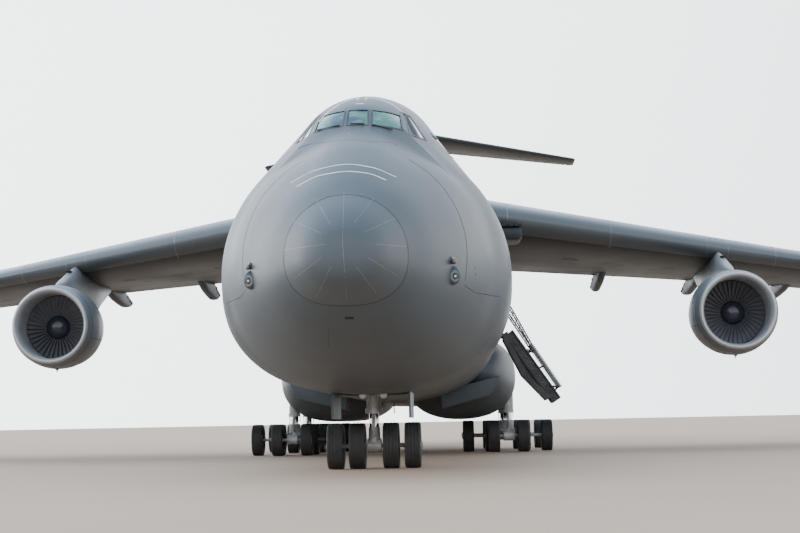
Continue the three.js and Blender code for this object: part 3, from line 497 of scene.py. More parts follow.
def smooth(piece, degrees):
    chosen(piece)
    bpy.ops.object.shade_smooth_by_angle(angle=math.radians(degrees))


def finished(piece, body, look=None, nodes=(), degrees=32):
    """Smooths a piece, gives it its finish, and fixes it to the body that it moves with."""
    smooth(piece, degrees)
    if look:
        coated(piece, look)
    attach(piece, body)
    if nodes:
        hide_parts(*nodes)


def grouped(name, pieces, body="airframe", look=None):
    finished(joined(name, pieces), body, look)


def on_both_sides(first, name, body="airframe", look=None, nodes=(), degrees=32):
    """A piece and its mirror image, finished; {} in a name stands for the side."""
    for side, hand in SIDES:
        twin = copied(first, name.format(side), MIRROR if hand < 0 else None)
        finished(twin, body.format(side), look, [n.format(side) for n in nodes], degrees)


def on_each_engine(first, name, body="airframe", nodes=(), degrees=32):
    """Copies of a piece at the engines' places, finished; {} in a name stands for the engine's number."""
    for k, place in enumerate(ENGINES, 1):
        twin = copied(first, name.format(k), Matrix.Translation(at(*place) - at(0, LENGTH / 2, 0)))
        finished(twin, body.format(k), None, [n.format(k) for n in nodes], degrees)
    drop(first)


# Smooth curves through short tables.
def slopes(us, values):
    """Slopes of a curve through the values that makes no new highs or lows."""
    steps = [b - a for a, b in zip(us, us[1:])]
    rises = [(b - a) / h for a, b, h in zip(values, values[1:], steps)]
    inner = []
    for (h0, r0), (h1, r1) in zip(zip(steps, rises), zip(steps[1:], rises[1:])):
        if r0 * r1 <= 0:
            inner.append(0.0)
        else:
            w0, w1 = 2 * h1 + h0, h1 + 2 * h0
            inner.append((w0 + w1) / (w0 / r0 + w1 / r1))
    return [rises[0], *inner, rises[-1]]


def through(rows, s, warp=lambda s: s):
    """A table's columns at s, on smooth curves through its rows; the first column is the distance."""
    us = [warp(row[0]) for row in rows]
    k = min(max(bisect.bisect_right(us, warp(s)) - 1, 0), len(us) - 2)
    h = us[k + 1] - us[k]
    t = (warp(s) - us[k]) / h
    result = [s]
    for column in list(zip(*rows))[1:]:
        m = slopes(us, column)
        result.append(
            (2 * t**3 - 3 * t**2 + 1) * column[k] + (t**3 - 2 * t**2 + t) * h * m[k]
            + (3 * t**2 - 2 * t**3) * column[k + 1] + (t**3 - t**2) * h * m[k + 1]
        )
    return result


def root(s):
    return math.sqrt(max(s, 0))


# The body's sections: station, lowest z, z of the greatest width, half width, radius of the upper lobe,
# highest z.
BODY = [
    (0.0, 4.61, 4.61, 0.0, 0.0, 4.61),
    (0.06, 4.22, 4.62, 0.42, 0.4, 5.02),
    (0.32, 3.98, 4.64, 0.78, 0.7, 5.34),
    (0.72, 3.83, 4.67, 1.03, 1.0, 5.65),
    (RADOME_BACK, 3.64, 4.7, 1.3, 1.19, 5.97),
    (2.0, 3.24, 4.74, 1.7, 1.45, 6.46),
    (3.0, 2.86, 4.78, 2.14, 1.62, 7.02),
    (4.2, 2.52, 4.82, 2.6, 1.6, 7.6),
    (5.6, 2.25, 4.85, 3.02, 1.42, 8.18),
    (6.5, 2.12, 4.85, 3.24, 1.45, 8.86),
    (7.6, 2.02, 4.85, 3.56, 1.65, 9.28),
    (9.0, 1.96, 4.85, 3.71, 1.85, 9.66),
    (11.0, 1.95, 4.85, 3.73, 1.98, 10.05),
    (14.0, 1.95, 4.85, 3.73, 2.1, 10.33),
    (FORE_JOINT, 1.95, 4.85, 3.73, 2.15, 10.42),
    (AFT_JOINT, 1.95, 4.85, 3.73, 2.15, 10.42),
    (50.0, 2.4, 5.0, 3.66, 2.1, 10.4),
    (54.0, 3.3, 5.4, 3.42, 2.05, 10.34),
    (58.0, 4.28, 5.95, 2.98, 1.92, 10.2),
    (62.0, 5.36, 6.65, 2.38, 1.68, 9.98),
    (66.0, 6.38, 7.35, 1.62, 1.28, 9.56),
    (69.0, 7.12, 7.85, 0.92, 0.78, 8.96),
    (BODY_END, 7.72, 8.05, 0.25, 0.24, 8.36),
]
BELLY_POWER = 2.45
STATIONS = [
    0.002, 0.01, 0.03, 0.06, 0.1, 0.16, 0.24, 0.33, 0.44, 0.57, 0.72, 0.88, 1.05, RADOME_BACK, 1.45, 1.7, 2.0,
    2.3, 2.65, 3.0, 3.4, 3.8, 4.2, 4.6, 5.0, 5.3, 5.6, 5.85, 6.1, 6.4, 6.7, 7.1, 7.6, 8.2, 8.9, 9.7, 10.6,
    11.6, 12.8, 14.0, 16.0, FORE_JOINT, 24.0, 31.0, 38.0, AFT_JOINT, 46.8, 48.0, 49.2, 50.5, 52.0, 53.5, 55.0,
    57.0, 59.0, 61.0, 63.0, 65.0, 66.6, 68.0, 69.0, 69.7, BODY_END,
]
HALF_RING = 60


def body_ring(station, grow):
    """One section of the body, grown outwards: a squared belly, and the hull of two circles above it."""
    _, low, wide, half, lobe, high = through(BODY, station, root)
    w, bottom, top, cap = half + grow, low - grow, high + grow, lobe + grow
    centre = top - cap
    ratio = (w - cap) / (centre - wide) if centre > wide else 2
    lean = math.asin(ratio) if abs(ratio) < 1 else None
    side = []
    for k in range(HALF_RING + 1):
        angle = math.pi * (k / HALF_RING - 0.5)
        c, s = max(0.0, math.cos(angle)), math.sin(angle)
        if angle < 0:
            bend = 2 / BELLY_POWER
            side.append((w * c**bend, wide - (wide - bottom) * (-s) ** bend))
        elif lean is None:
            side.append((w * c, wide + (top - wide) * s))
        elif angle < lean:
            side.append((w * c, wide + w * s))
        else:
            side.append((cap * c, centre + cap * s))
    ring = [at(x, station, z) for x, z in side]
    return ring + [at(-x, station, z) for x, z in reversed(side[1:-1])]


def hull(name, grow, start=0.0, end=BODY_END):
    stations = sorted({max(start, 0.002), end, *(s for s in STATIONS if start < s < end)})
    return loft(name, [body_ring(s, grow) for s in stations])


def tree_of(piece):
    points = [vert.co.copy() for vert in piece.data.vertices]
    return BVHTree.FromPolygons(points, [tuple(face.vertices) for face in piece.data.polygons])


SKIN = hull("skin_shape", 0.0)
SKIN_TREE = tree_of(SKIN)


def on_skin(x, y):
    """Where the picture's point x, y meets the body, or where it passes nearest to it."""
    start, way = seen_along(x, y)
    hit, normal, _, _ = SKIN_TREE.ray_cast(start, way)
    if hit is None:
        tries = [SKIN_TREE.find_nearest(start + way * (30 + 0.25 * k) * SCALE) for k in range(80)]
        hit, normal = min(tries, key=lambda found: found[3])[:2]
    return hit, normal


def skin_beside(hand, station, z):
    """The body's side at a station and height."""
    return SKIN_TREE.ray_cast(at(hand * 9, station, z), Vector((-hand, 0, 0)))[0]


def skin_from(x, station, way):
    """The body's top met from above (-1), or its belly met from below (1)."""
    return SKIN_TREE.ray_cast(at(x, station, 15 if way < 0 else -3), UP * way)[:2]


def laid(points, tree=SKIN_TREE):
    """Points put on the nearest face of a shape, with the normal there."""
    return [tree.find_nearest(Vector(p))[:2] for p in points]


# Where the swinging nose parts, as (station, z) down the side.
NOSE_BREAK = [(5.3, 11.35), (3.92, 4.235), (4.7, 4.13), (6.9, 4.2), (7.04, 2.9), (7.3, 2.0), (7.8, -1)]
NOSE_WALL = 0.24


def nose_side(shift, behind):
    line = [(s + shift, z + shift) for s, z in NOSE_BREAK]
    far = BODY_END + 10 if behind else -10
    return drawn_across("nose_side", line + [(far, line[-1][1]), (far, line[0][1])], -12, 12)


def slab(s0, s1):
    return block("slab", -40, 40, s0, s1, -2, 25)


HOLD = [(2.8, 2.95), (3.3, 3.8), (3.34, 5.4), (2.75, 6.35), (2.1, 7.06)]


def hold_space():
    rings = []
    for station, share in ((3, 0.8), (7.4, 0.9), (10.5, 1), (46.4, 1)):
        side = [at(x * share, station, z) for x, z in HOLD]
        rings.append(side + [at(-x * share, station, z) for x, z in reversed(HOLD)])
    return loft("hold_space", rings)


def lined(piece, skin_look, inner_look, depth=0.06):
    """The skin's paint outside, and a lining on the faces that lie deeper than the skin or across it."""
    coated(piece, skin_look, inner_look)
    deep = [SKIN_TREE.find_nearest(vert.co)[3] > depth * SCALE for vert in piece.data.vertices]
    for face in piece.data.polygons:
        _, normal, _, distance = SKIN_TREE.find_nearest(face.center)
        across = distance > depth * SCALE and face.normal.dot(normal) < 0.9
        face.material_index = 1 if across or any(deep[k] for k in face.vertices) else 0


def body_part(piece, name, body="airframe", outer="skin", inner="hold"):
    """Finishes a part of the body in place of the node of that name, painted outside and lined inside."""
    lined(piece, outer, inner)
    finished(piece, body, None, [name])


WINDOWS = {
    "centre": ("ahead", [(-0.25, 8.32), (0.25, 8.32), (0.23, 8.79), (-0.23, 8.79)]),
    "front": ("ahead", [(0.36, 8.32), (1.06, 8.26), (0.99, 8.76), (0.34, 8.79)]),
    "side": ("beside", [(6.42, 8.17), (6.78, 8.16), (7.75, 8.93), (7.6, 8.94)]),
    "slid": ("beside", [(6.84, 8.16), (7.14, 8.15), (8.0, 8.91), (7.81, 8.93)]),
    "rear": ("beside", [(9.0, 8.06), (9.9, 8.06), (9.8, 8.6), (8.9, 8.6)]),
}
PANE_LOOKS = ["glass", "glass", "glass", "open", "pane", "pane", "pane", "glass", "glass"]


def grown(outline, grow):
    """An outline with all its sides moved outwards."""
    area = sum(a[0] * b[1] - b[0] * a[1] for a, b in zip(outline, outline[1:] + outline[:1]))
    corners = []
    for k, corner in enumerate(outline):
        here = Vector(corner)
        before = (here - Vector(outline[k - 1])).normalized()
        after = (Vector(outline[(k + 1) % len(outline)]) - here).normalized()
        p, q = Vector((before.y, -before.x)), Vector((after.y, -after.x))
        corners.append(tuple(here + (p + q) / (1 + p.dot(q)) * math.copysign(1, area) * grow))
    return corners


def window_tools(grow=0.0):
    tools = []
    for view, outline in WINDOWS.values():
        outline = grown(outline, grow)
        for hand in ((1, -1) if view == "beside" or outline[0][0] > 0 else (1,)):
            if view == "ahead":
                tools.append(drawn_back("window", [(hand * x, z) for x, z in outline], 4.9, 7.4))
            else:
                tools.append(drawn_across("window", outline, hand * 0.9, hand * 4.0))
    return tools


CREW = {"station": 13.5, "half": 0.6, "sill": 3.54, "head": 5.86, "pocket": 0.53}
BAY = {"half": 0.98, "front": 9.5, "back": 12.3, "roof": 2.72}


def make_forward_body():
    piece = kept(copied(SKIN, "forward_body_skin"), nose_side(VISOR_GAP, True))
    kept(piece, slab(0, FORE_JOINT))
    cut(piece, kept(hold_space(), hull("inner", -NOSE_WALL, 1.5, 24)))
    cut(piece, kept(block("cabin", -3, 3, 5.7, 12.4, 7.36, 12), hull("inner", -0.16, 1.5, 24)))
    for tool in window_tools():
        cut(piece, tool)
    near, far = CREW["station"] - CREW["half"], CREW["station"] + CREW["half"]
    cut(piece, block("doorway", 2.2, 4.6, near, far, CREW["sill"], CREW["head"]))
    near, far = CREW["station"] - CREW["pocket"], CREW["station"] + CREW["pocket"]
    cut(piece, block("rail_pocket", 2.4, 3.1, near, far, 3.02, 3.7))
    cut(piece, block("stair_pocket", 2.2, 3.492, near, far, 5.7, 6.03))
    cut(piece, block("bay", -BAY["half"], BAY["half"], BAY["front"], BAY["back"], 1, BAY["roof"]))
    body_part(piece, "forward_body")


def make_middle_body():
    piece = kept(copied(SKIN, "middle_body_skin"), slab(FORE_JOINT, AFT_JOINT))
    body_part(cut(piece, hold_space()), "middle_body")


def make_visor():
    piece = kept(copied(SKIN, "visor_skin"), nose_side(-VISOR_GAP, False))
    kept(piece, slab(RADOME_BACK, 20))
    cut(piece, hull("inner", -NOSE_WALL, RADOME_BACK + 0.3, 20))
    body_part(piece, "nose_visor", "nose_visor", "nose")


def make_radome():
    piece = kept(copied(SKIN, "radome_skin"), slab(-1, RADOME_BACK))
    finished(piece, "nose_visor", "dome", ["radome"])


SILL = 0.22
EDGE = 0.05
AFT_RAMP = {"from": 45.68, "to": 51.4, "half": 2.5, "rise": 0.085, "foot": 2.68, "trim": 0.17, "floor": 2.95}
PETAL = {"from": 51.4, "to": 60.4, "root": 2.5, "tip": 1.5, "room": 3, "gap": 1.7 * EDGE}


def aft_shell():
    piece = kept(copied(SKIN, "aft_shell"), slab(AFT_JOINT, BODY_END + 1))
    return cut(piece, kept(hull("inner", -SILL, 40, 66), slab(AFT_JOINT - 1, 62)))


def ramp_top(s):
    return AFT_RAMP["floor"] + (s - AFT_RAMP["from"]) * AFT_RAMP["rise"]


def ramp_zone(grow):
    a, b = (AFT_JOINT - 1, AFT_RAMP["to"] + grow) if grow else (AFT_RAMP["from"], AFT_RAMP["to"])
    back = b if grow else b - AFT_RAMP["trim"]
    half = AFT_RAMP["half"] + grow
    outline = [(a, 0), (b, 0), (b, AFT_RAMP["foot"]), (back, ramp_top(back) + grow), (a, ramp_top(a) + grow)]
    return drawn_across("ramp_zone", outline, -half, half)


def petal_zone(grow, hand):
    a, b, behind = PETAL["from"] + EDGE, PETAL["to"], grow * PETAL["room"]
    taper = (PETAL["root"] - PETAL["tip"]) / (b - a)
    inner = -1 if grow else EDGE / 2
    outline = [(inner, a - grow), (PETAL["root"] + grow * (1 + taper), a - grow),
               (PETAL["tip"] + grow - behind * taper, b + behind), (inner, b + behind)]
    return drawn_up("petal_zone", [(hand * x, s) for x, s in outline], 0, 6.2)


def make_aft_body():
    body = aft_shell()
    for side, hand in SIDES:
        door = kept(copied(body, f"aft_door_skin_{side}"), petal_zone(0, hand))
        body_part(door, f"aft_door_{side}", f"aft_door_{side}")
    body_part(kept(copied(SKIN, "aft_ramp_skin"), ramp_zone(0)), "aft_ramp", "aft_ramp", inner="plate")
    cut(body, ramp_zone(EDGE))
    for _, hand in SIDES:
        cut(body, petal_zone(PETAL["gap"], hand))
    body.name = "aft_body_skin"
    body_part(body, "aft_body")


# Wing and tail.
WING = {"edge": 20.45, "sweep": 0.543, "root": 13.85, "kink": 14.9, "kink_chord": 8.7, "tip": 4.67,
        "z": 8.42, "droop": 0.09, "half": 33.94, "camber": 0.014}
AILERON = {"share": 0.77, "from": 23.4, "to": 31.8, "gap": 0.05}
FLAP = {"share": 0.76, "from": 3.95, "to": 21.8}
SLAT = {"top": 0.13, "under": 0.055}
FOIL_STEPS = 26


def thickness(f):
    return 5 * (0.2969 * math.sqrt(f) - 0.126 * f - 0.3516 * f**2 + 0.2843 * f**3 - 0.1015 * f**4)


def foil_height(row, f, side):
    """Height over the chord of a section's upper (1) or lower (-1) side, or of its middle (0)."""
    return side * (row["ratio"] * thickness(f) + 0.004 * f) + 4 * row.get("camber", 0) * f * (1 - f)


def foil(row):
    """A ring of (share of the chord, height over chord) from the trailing edge over the top and back."""
    shares = [0.5 + 0.5 * math.cos(math.pi * k / FOIL_STEPS) for k in range(FOIL_STEPS)]
    upper = [(f, foil_height(row, f, 1)) for f in shares]
    return upper + [(0.0, 0.0)] + [(f, foil_height(row, f, -1)) for f in reversed(shares)]


def wing_at(x):
    w = WING
    if x < w["kink"]:
        chord = w["root"] + (w["kink_chord"] - w["root"]) * x / w["kink"]
    else:
        chord = w["kink_chord"] + (w["tip"] - w["kink_chord"]) * (x - w["kink"]) / (w["half"] - w["kink"])
    share = x / w["half"]
    return {"x": x, "lead": w["edge"] + w["sweep"] * x, "chord": chord, "z": w["z"] - w["droop"] * x,
            "turn": 3.5 - 5 * share, "ratio": 0.134 - 0.024 * share, "camber": w["camber"]}


def foil_point(row, f, h):
    turn = math.radians(row["turn"])
    along, up = (f - 0.25) * row["chord"], h * row["chord"]
    return at(row["x"], row["lead"] + 0.25 * row["chord"] + along * math.cos(turn) + up * math.sin(turn),
              row["z"] - along * math.sin(turn) + up * math.cos(turn))


def foil_loft(name, rows):
    return loft(name, [[foil_point(row, f, h) for f, h in foil(row)] for row in rows])


def on_wing(x, f, side):
    """A point of the wing's surface at a share of its chord."""
    row = wing_at(x)
    return foil_point(row, f, foil_height(row, f, side))


def rounded_end(row, out, steps=5, lead=0.8, short=1.0):
    """Sections that close a wing's or tailplane's end in a rounded cap."""
    rows = []
    for k in range(1, steps + 1):
        angle = 0.5 * math.pi * k / steps
        back = 1 - math.cos(angle)
        rows.append({**row, "x": row["x"] + out * math.sin(angle), "lead": row["lead"] + lead * back,
                     "chord": row["chord"] - short * back, "camber": 0.0,
                     "ratio": row["ratio"] * max(0.12, math.cos(angle))})
    return rows


def chord_line(row_at, share, xs, shift=0.0):
    rows = [row_at(x) for x in xs]
    return [(row["x"], row["lead"] + share * row["chord"] + shift) for row in rows]


def half_at(row, share):
    return foil_height({"ratio": row["ratio"]}, share, 1) * row["chord"]


def hinge_at(row, share):
    return foil_point(row, share, foil_height(row, share, 0)), half_at(row, share)


def split_off(whole, zone, ends, gap):
    """Parts a surface at a hinge line: the moving part with a round nose, and the fixed part with a gap."""
    (a, ra), (b, rb) = ends
    along = (b - a).normalized() * 0.25

    def nose(grow):
        wide = (lambda r: r + 0.02) if grow else (lambda r: 0.93 * r)
        return bar("nose", a - along, b + along, wide(ra), 40, wide(rb))

    moving = kept(copied(whole, "moving"), zone(0))
    front = kept(nose(0), copied(whole, "whole"))
    cut(moving, kept(front, zone(0, 1)), "UNION")
    fixed = cut(copied(whole, "fixed"), zone(gap))
    cut(fixed, kept(nose(gap), zone(gap, 1)))
    drop(whole)
    return moving, fixed


def aileron_zone(grow, ahead=None):
    start, end = AILERON["from"] - grow, AILERON["to"] + grow
    line = chord_line(wing_at, AILERON["share"], (start, end), -(grow if ahead is None else ahead))
    return drawn_up("zone", line + [(end, 60), (start, 60)], 2, 12)


def make_wings():
    rows = [wing_at(x) for x in (1.2, 5, 10, WING["kink"], 20, 24.5, 29, WING["half"] - 0.45)]
    whole = foil_loft("whole_wing", rows + rounded_end(rows[-1], 0.45))
    cut(whole, SKIN, keep_tool=True)
    ends = [hinge_at(wing_at(x), AILERON["share"]) for x in (AILERON["from"], AILERON["to"])]
    moving, fixed = split_off(whole, aileron_zone, ends, AILERON["gap"])
    for tool in flap_joints():
        cut(fixed, tool)
    coated(fixed, "wing", "slat")
    # Faces near the leading edge take the slat's painted highlight grey; the rest take the wing's painted
    # shade grey.
    for face in fixed.data.polygons:
        x, station, _ = face.center / SCALE
        row = wing_at(x)
        share = (station + LENGTH / 2 - row["lead"]) / row["chord"]
        face.material_index = 1 if share < (SLAT["top"] if face.normal.z > 0 else SLAT["under"]) else 0
    on_both_sides(fixed, "wing_skin_{}", nodes=["wing_{}", "flap_{}"])
    on_both_sides(moving, "aileron_skin_{}", "aileron_{}", "wing", ["aileron_{}"])
    dress_wings(tree_of(fixed))
    drop(moving, fixed)


def flap_joints():
    """Thin slots along the front of the flap's panels and between them."""
    slots = []
    middle = WING["kink"] - 0.1
    for start, end in ((FLAP["from"], middle), (middle, FLAP["to"])):
        near = chord_line(wing_at, FLAP["share"], (start, end))
        far = chord_line(wing_at, FLAP["share"], (end, start), 0.03)
        slots.append(drawn_up("slot", near + far, 2, 12))
    for x in (FLAP["from"], 8.9, 15.1, FLAP["to"]):
        (_, s), = chord_line(wing_at, FLAP["share"], (x,))
        slots.append(drawn_up("slot", [(x, s), (x + 0.03, s), (x + 0.03, 60), (x, 60)], 2, 12))
    return slots


# Covers of the flap tracks: their places across the wing; distance behind the wing's edge, half width and
# depth; and each hole's distance behind the edge, drop and height.
FAIRINGS = [4.2, 8.3, 12.35, 16.2, 20.4]
CANOE = [
    (-5.0, 0.03, 0.04), (-4.3, 0.10, 0.26), (-3.2, 0.15, 0.50), (-1.4, 0.17, 0.78),
    (0.4, 0.17, 0.84), (1.3, 0.16, 0.74), (1.7, 0.14, 0.56), (1.85, 0.08, 0.40),
]
CANOE_HOLES = ((0.35, 0.12, 0.2), (0.8, 0.3, 0.18), (1.2, 0.42, 0.16))


def make_fairings():
    """The slim covers of the flap tracks, each with its openings along the top of its end shown as near-black
    blocks of painted shade.
    """
    canoes, holes = [], []
    for x in FAIRINGS:
        row = wing_at(x)
        turn = math.radians(row["turn"])
        edge = row["lead"] + row["chord"]
        under = row["z"] - 0.75 * row["chord"] * math.sin(turn) - 0.02
        rise = math.tan(turn) + 0.035
        size = 1 - x / 45
        rings = []
        for back in even(CANOE[0][0], CANOE[-1][0], 30):
            _, half, depth = through(CANOE, back)
            top = under - min(back, 0) * rise
            high, low = top + 0.1 - 0.25 * max(0, back - 0.2), top - depth * size
            rings.append([at(x + half * bent(c, 0.6), edge + back,
                             (high + low) / 2 + (high - low) / 2 * bent(s, 0.75)) for c, s in circle(24)])
        canoes.append(loft("canoe", rings))
        for back, below, tall in CANOE_HOLES:
            s, z = edge + back, under - below * size
            # Each hole is a near-black block: painted shade of the opening.
            holes.append(block("hole", x - 0.178, x + 0.178, s, s + 0.3, z - tall * size, z, 0.01))
    first = built("fairings", wing=canoes, dark=holes)
    on_both_sides(first, "flap_fairings_{}", degrees=40)
    drop(first)


TAILPLANE = {"half": 10.47, "lead": 66.6, "sweep": 0.605, "root": 6.2, "tip": 2.6, "z": 19.3, "droop": 0.0787}
ELEVATOR = {"share": 0.72, "from": 0.85, "to": 9.9, "gap": 0.065}
BULLET = [(0, 0.0), (0.12, 0.13), (0.3, 0.22), (0.9, 0.4), (1.8, 0.52), (3.6, 0.56), (5.6, 0.54), (7.0, 0.42),
          (7.8, 0.34), (8.6, 0.16), (8.95, 0.0)]
BULLET_FRONT = 64.7


def plane_at(x):
    t = TAILPLANE
    chord = t["root"] + (t["tip"] - t["root"]) * x / t["half"]
    return {"x": x, "lead": t["lead"] + t["sweep"] * x, "chord": chord, "z": t["z"] - t["droop"] * x,
            "turn": 0, "ratio": 0.105}


def elevator_zone(grow, ahead=None):
    start, end = ELEVATOR["from"] - grow, ELEVATOR["to"] + grow
    line = chord_line(plane_at, ELEVATOR["share"], (start, end), -(grow if ahead is None else ahead))
    return drawn_up("zone", line + [(end, 80), (start, 80)], 15, 22)


def make_tailplane():
    tip = plane_at(TAILPLANE["half"] - 0.3)
    rows = [plane_at(0), plane_at(3.5), plane_at(7), tip] + rounded_end(tip, 0.3, lead=0.5, short=0.5)
    ends = [hinge_at(plane_at(x), ELEVATOR["share"]) for x in (ELEVATOR["from"], ELEVATOR["to"])]
    moving, fixed = split_off(foil_loft("half_plane", rows), elevator_zone, ends, ELEVATOR["gap"])
    bullet = bullet_shape()
    zone = elevator_zone(ELEVATOR["gap"])
    for change in (None, MIRROR):
        cut(bullet, copied(zone, "zone", change))
    plane = joined("tailplane_skin", [copied(fixed, "half"), copied(fixed, "half", MIRROR), bullet])
    finished(plane, "airframe", "wing", ["tailplane"])
    on_both_sides(moving, "elevator_skin_{}", "elevator_{}", "wing", ["elevator_{}"])
    drop(moving, fixed, zone)


def bullet_shape():
    profile = [through(BULLET, y) for y in even(0, BULLET[-1][0], 40)]
    return turned("bullet", profile, 40, at(0, BULLET_FRONT, TAILPLANE["z"]))


FIN = {"low": 8.4, "high": 19.1, "lead": 56.6, "lead_top": 65.5, "chord": 11.2, "chord_top": 7.2}
RUDDER = {"share": 0.72, "low": 10.75, "high": 18.3, "gap": 0.05, "fall": 0.045}


def fin_at(z):
    share = (z - FIN["low"]) / (FIN["high"] - FIN["low"])
    return {"z": z, "lead": FIN["lead"] + share * (FIN["lead_top"] - FIN["lead"]),
            "chord": FIN["chord"] + share * (FIN["chord_top"] - FIN["chord"]), "ratio": 0.13}


def fin_ring(row):
    return [at(h * row["chord"], row["lead"] + f * row["chord"], row["z"]) for f, h in foil(row)]


def rudder_line(z):
    return fin_at(z)["lead"] + RUDDER["share"] * fin_at(z)["chord"]


def rudder_zone(grow, ahead=None):
    a, b = RUDDER["low"] - 2 * grow, RUDDER["high"] + 2 * grow
    front = grow if ahead is None else ahead
    back = b if grow else b - RUDDER["fall"] * (80 - rudder_line(b))
    outline = [(rudder_line(a) - front, a), (80, a), (80, back), (rudder_line(b) - front, b)]
    return drawn_across("zone", outline, -2, 2)


def make_fin():
    whole = loft("whole_fin", [fin_ring(fin_at(z)) for z in (FIN["low"], 12, 15.5, FIN["high"])])
    cut(whole, SKIN, keep_tool=True)
    cut(whole, bullet_shape())
    kept(whole, block("span", -3, 3, 50, 80, 8.4, 19.0))
    ends = [(at(0, rudder_line(z), z), half_at(fin_at(z), RUDDER["share"]))
            for z in (RUDDER["low"], RUDDER["high"])]
    moving, fixed = split_off(whole, rudder_zone, ends, RUDDER["gap"])
    fixed.name = "fin_skin"
    moving.name = "rudder_skin"
    finished(fixed, "airframe", "fin", ["fin"])
    finished(moving, "rudder", "fin", ["rudder"])


# Engines: distance out, lip station, height of the axis. Profiles: distance behind the lip, radius.
ENGINES = [(18.8, 26.95, 4.22), (12.0, 23.25, 4.83), (-12.0, 23.25, 4.83), (-18.8, 26.95, 4.22)]
COWL_OUT = [(0, 1.27), (0.1, 1.34), (0.45, 1.44), (1.2, 1.5), (2.1, 1.42), (3.5, 1.12)]
DUCT = [(0, 1.27), (0.1, 1.185), (0.3, 1.15), (0.9, 1.152), (1.64, 1.17)]
CORE = [(3.5, 1.07), (3.1, 1.06), (2.7, 1.04), (2.7, 0.8), (3.3, 0.76), (3.9, 0.7), (4.6, 0.57), (5.2, 0.42),
        (5.55, 0.22), (5.8, 0.0)]
FAN = {"blades": 38, "tip": 1.14, "hub": 0.41, "middle": 1.35}
SPINNER = [(0.93, 0.0), (0.935, 0.07), (0.955, 0.15), (0.99, 0.235), (1.05, 0.32), (1.12, 0.385), (1.2, 0.42),
           (1.5, 0.44), (1.5, 0.3), (1.6, 0.3), (1.6, 0.0)]


def cowl_radius(y):
    return through(COWL_OUT, y, root)[1]


def cowl_profile():
    outer = [through(COWL_OUT, COWL_OUT[-1][0] * share**2, root) for share in even(0, 1, 30)]
    inner = [through(DUCT, DUCT[-1][0] * share**2, root) for share in even(0, 1, 18)[1:]]
    return [(DUCT[-1][0], 0.0)] + inner[::-1] + outer + CORE


def cowl_look(y, r):
    """The number of a face's look: outside, lip, duct liner, core, and dark wall, which is painted shade on
    the deep walls behind the fan and inside the exhaust.
    """
    if y < 0.1:
        return 1
    if r < 1.22 and y < 1.62:
        return 2
    if y < 1.66 and r < 1.17:
        return 4
    if y > 2.68 and r < 0.81:
        return 3
    return 4 if y > 2.6 and r < cowl_radius(min(y, 3.5)) - 0.03 else 0


def make_cowls():
    first = coated(turned("cowl", cowl_profile(), 80), "cowl", "lip", "liner", "core", "dark")
    for face in first.data.polygons:
        x, y, z = face.center / SCALE
        face.material_index = cowl_look(y, math.hypot(x, z))
    on_each_engine(first, "cowl_shell_{}", nodes=["cowl_{}"], degrees=50)


def fan_blade():
    """One twisted blade, standing up from the fan's axis, which is Y."""
    fresh()
    bpy.ops.mesh.primitive_grid_add(x_subdivisions=4, y_subdivisions=7, size=2)
    blade = bpy.context.object
    for vert in blade.data.vertices:
        along, share = vert.co.x, (vert.co.y + 1) / 2
        radius = FAN["hub"] - 0.02 + share * (FAN["tip"] - FAN["hub"] + 0.02)
        chord = 0.32 - 0.03 * share
        lean = math.radians(24 + 36 * share)
        bow = 0.02 * (1 - along**2)
        side = 0.5 * chord * along * math.sin(lean) + bow * math.cos(lean)
        depth = 0.5 * chord * along * math.cos(lean) - bow * math.sin(lean)
        vert.co = step(side, FAN["middle"] + depth, math.sqrt(radius**2 - side**2))
    return thickened(blade, 0.014, 0)


def make_fans():
    blade = fan_blade()
    turns = even(0, 2 * math.pi, FAN["blades"])[:-1]
    blades = [copied(blade, "blade", Matrix.Rotation(turn, 4, "Y")) for turn in turns]
    drop(blade)
    first = built("fan", blade=blades, spinner=[turned("spinner", SPINNER, 48)])
    on_each_engine(first, "fan_rotor_{}", "fan_{}", ["fan_{}"])


# The pylon: station after the lip, half width, low and high above the axis.
PYLON = [
    (0.95, 0.03, 1.42, 1.50), (1.3, 0.13, 1.40, 1.62), (1.8, 0.19, 1.38, 1.79), (2.8, 0.23, 1.22, 2.13),
    (3.45, 0.24, 1.08, 2.34), (3.9, 0.25, 0.70, 2.44), (5.8, 0.27, 0.74, 2.5), (7.7, 0.19, 1.34, 2.4),
    (9.6, 0.05, 1.95, 2.2),
]


def make_pylons():
    for k, (x, lip, z) in enumerate(ENGINES, 1):
        rings = []
        for back in even(PYLON[0][0], PYLON[-1][0], 44):
            _, half, low, high = through(PYLON, back)
            rings.append([at(x + half * bent(c, 1.05 if s > 0 else 0.3), lip + back,
                             z + (high + low) / 2 + (high - low) / 2 * s) for c, s in circle(28)])
        finished(loft(f"pylon_skin_{k}", rings), "airframe", "pylon", [f"pylon_{k}"], 30)


# Pods over the main gear: station, centre out, half width, centre z, half height.
POD = [
    (24.4, 2.7, 0.08, 3.1, 0.08), (24.7, 2.68, 0.48, 3.06, 0.38), (25.2, 2.62, 0.95, 3.0, 0.72),
    (26.8, 2.45, 1.68, 2.92, 1.34), (28.8, 2.35, 2.1, 2.88, 1.6), (37.4, 2.35, 2.1, 2.88, 1.6),
    (40.4, 2.42, 1.66, 2.96, 1.3), (43.0, 2.6, 0.95, 3.12, 0.78), (44.3, 2.71, 0.4, 3.25, 0.33),
    (44.8, 2.75, 0.1, 3.3, 0.1),
]
POD_STATIONS = [
    24.4, 24.46, 24.54, 24.64, 24.76, 24.9, 25.08, 25.3, 25.6, 26.0, 26.4, 26.8, 27.2, 27.7, 28.2, 28.8, 31,
    34, 37.4, 38.0, 38.6, 39.2, 39.8, 40.4, 41.1, 41.8, 42.4, 43, 43.5, 43.9, 44.2, 44.5, 44.7, 44.8,
]
POD_DOORS = (28.3, 33.2, 38.3)
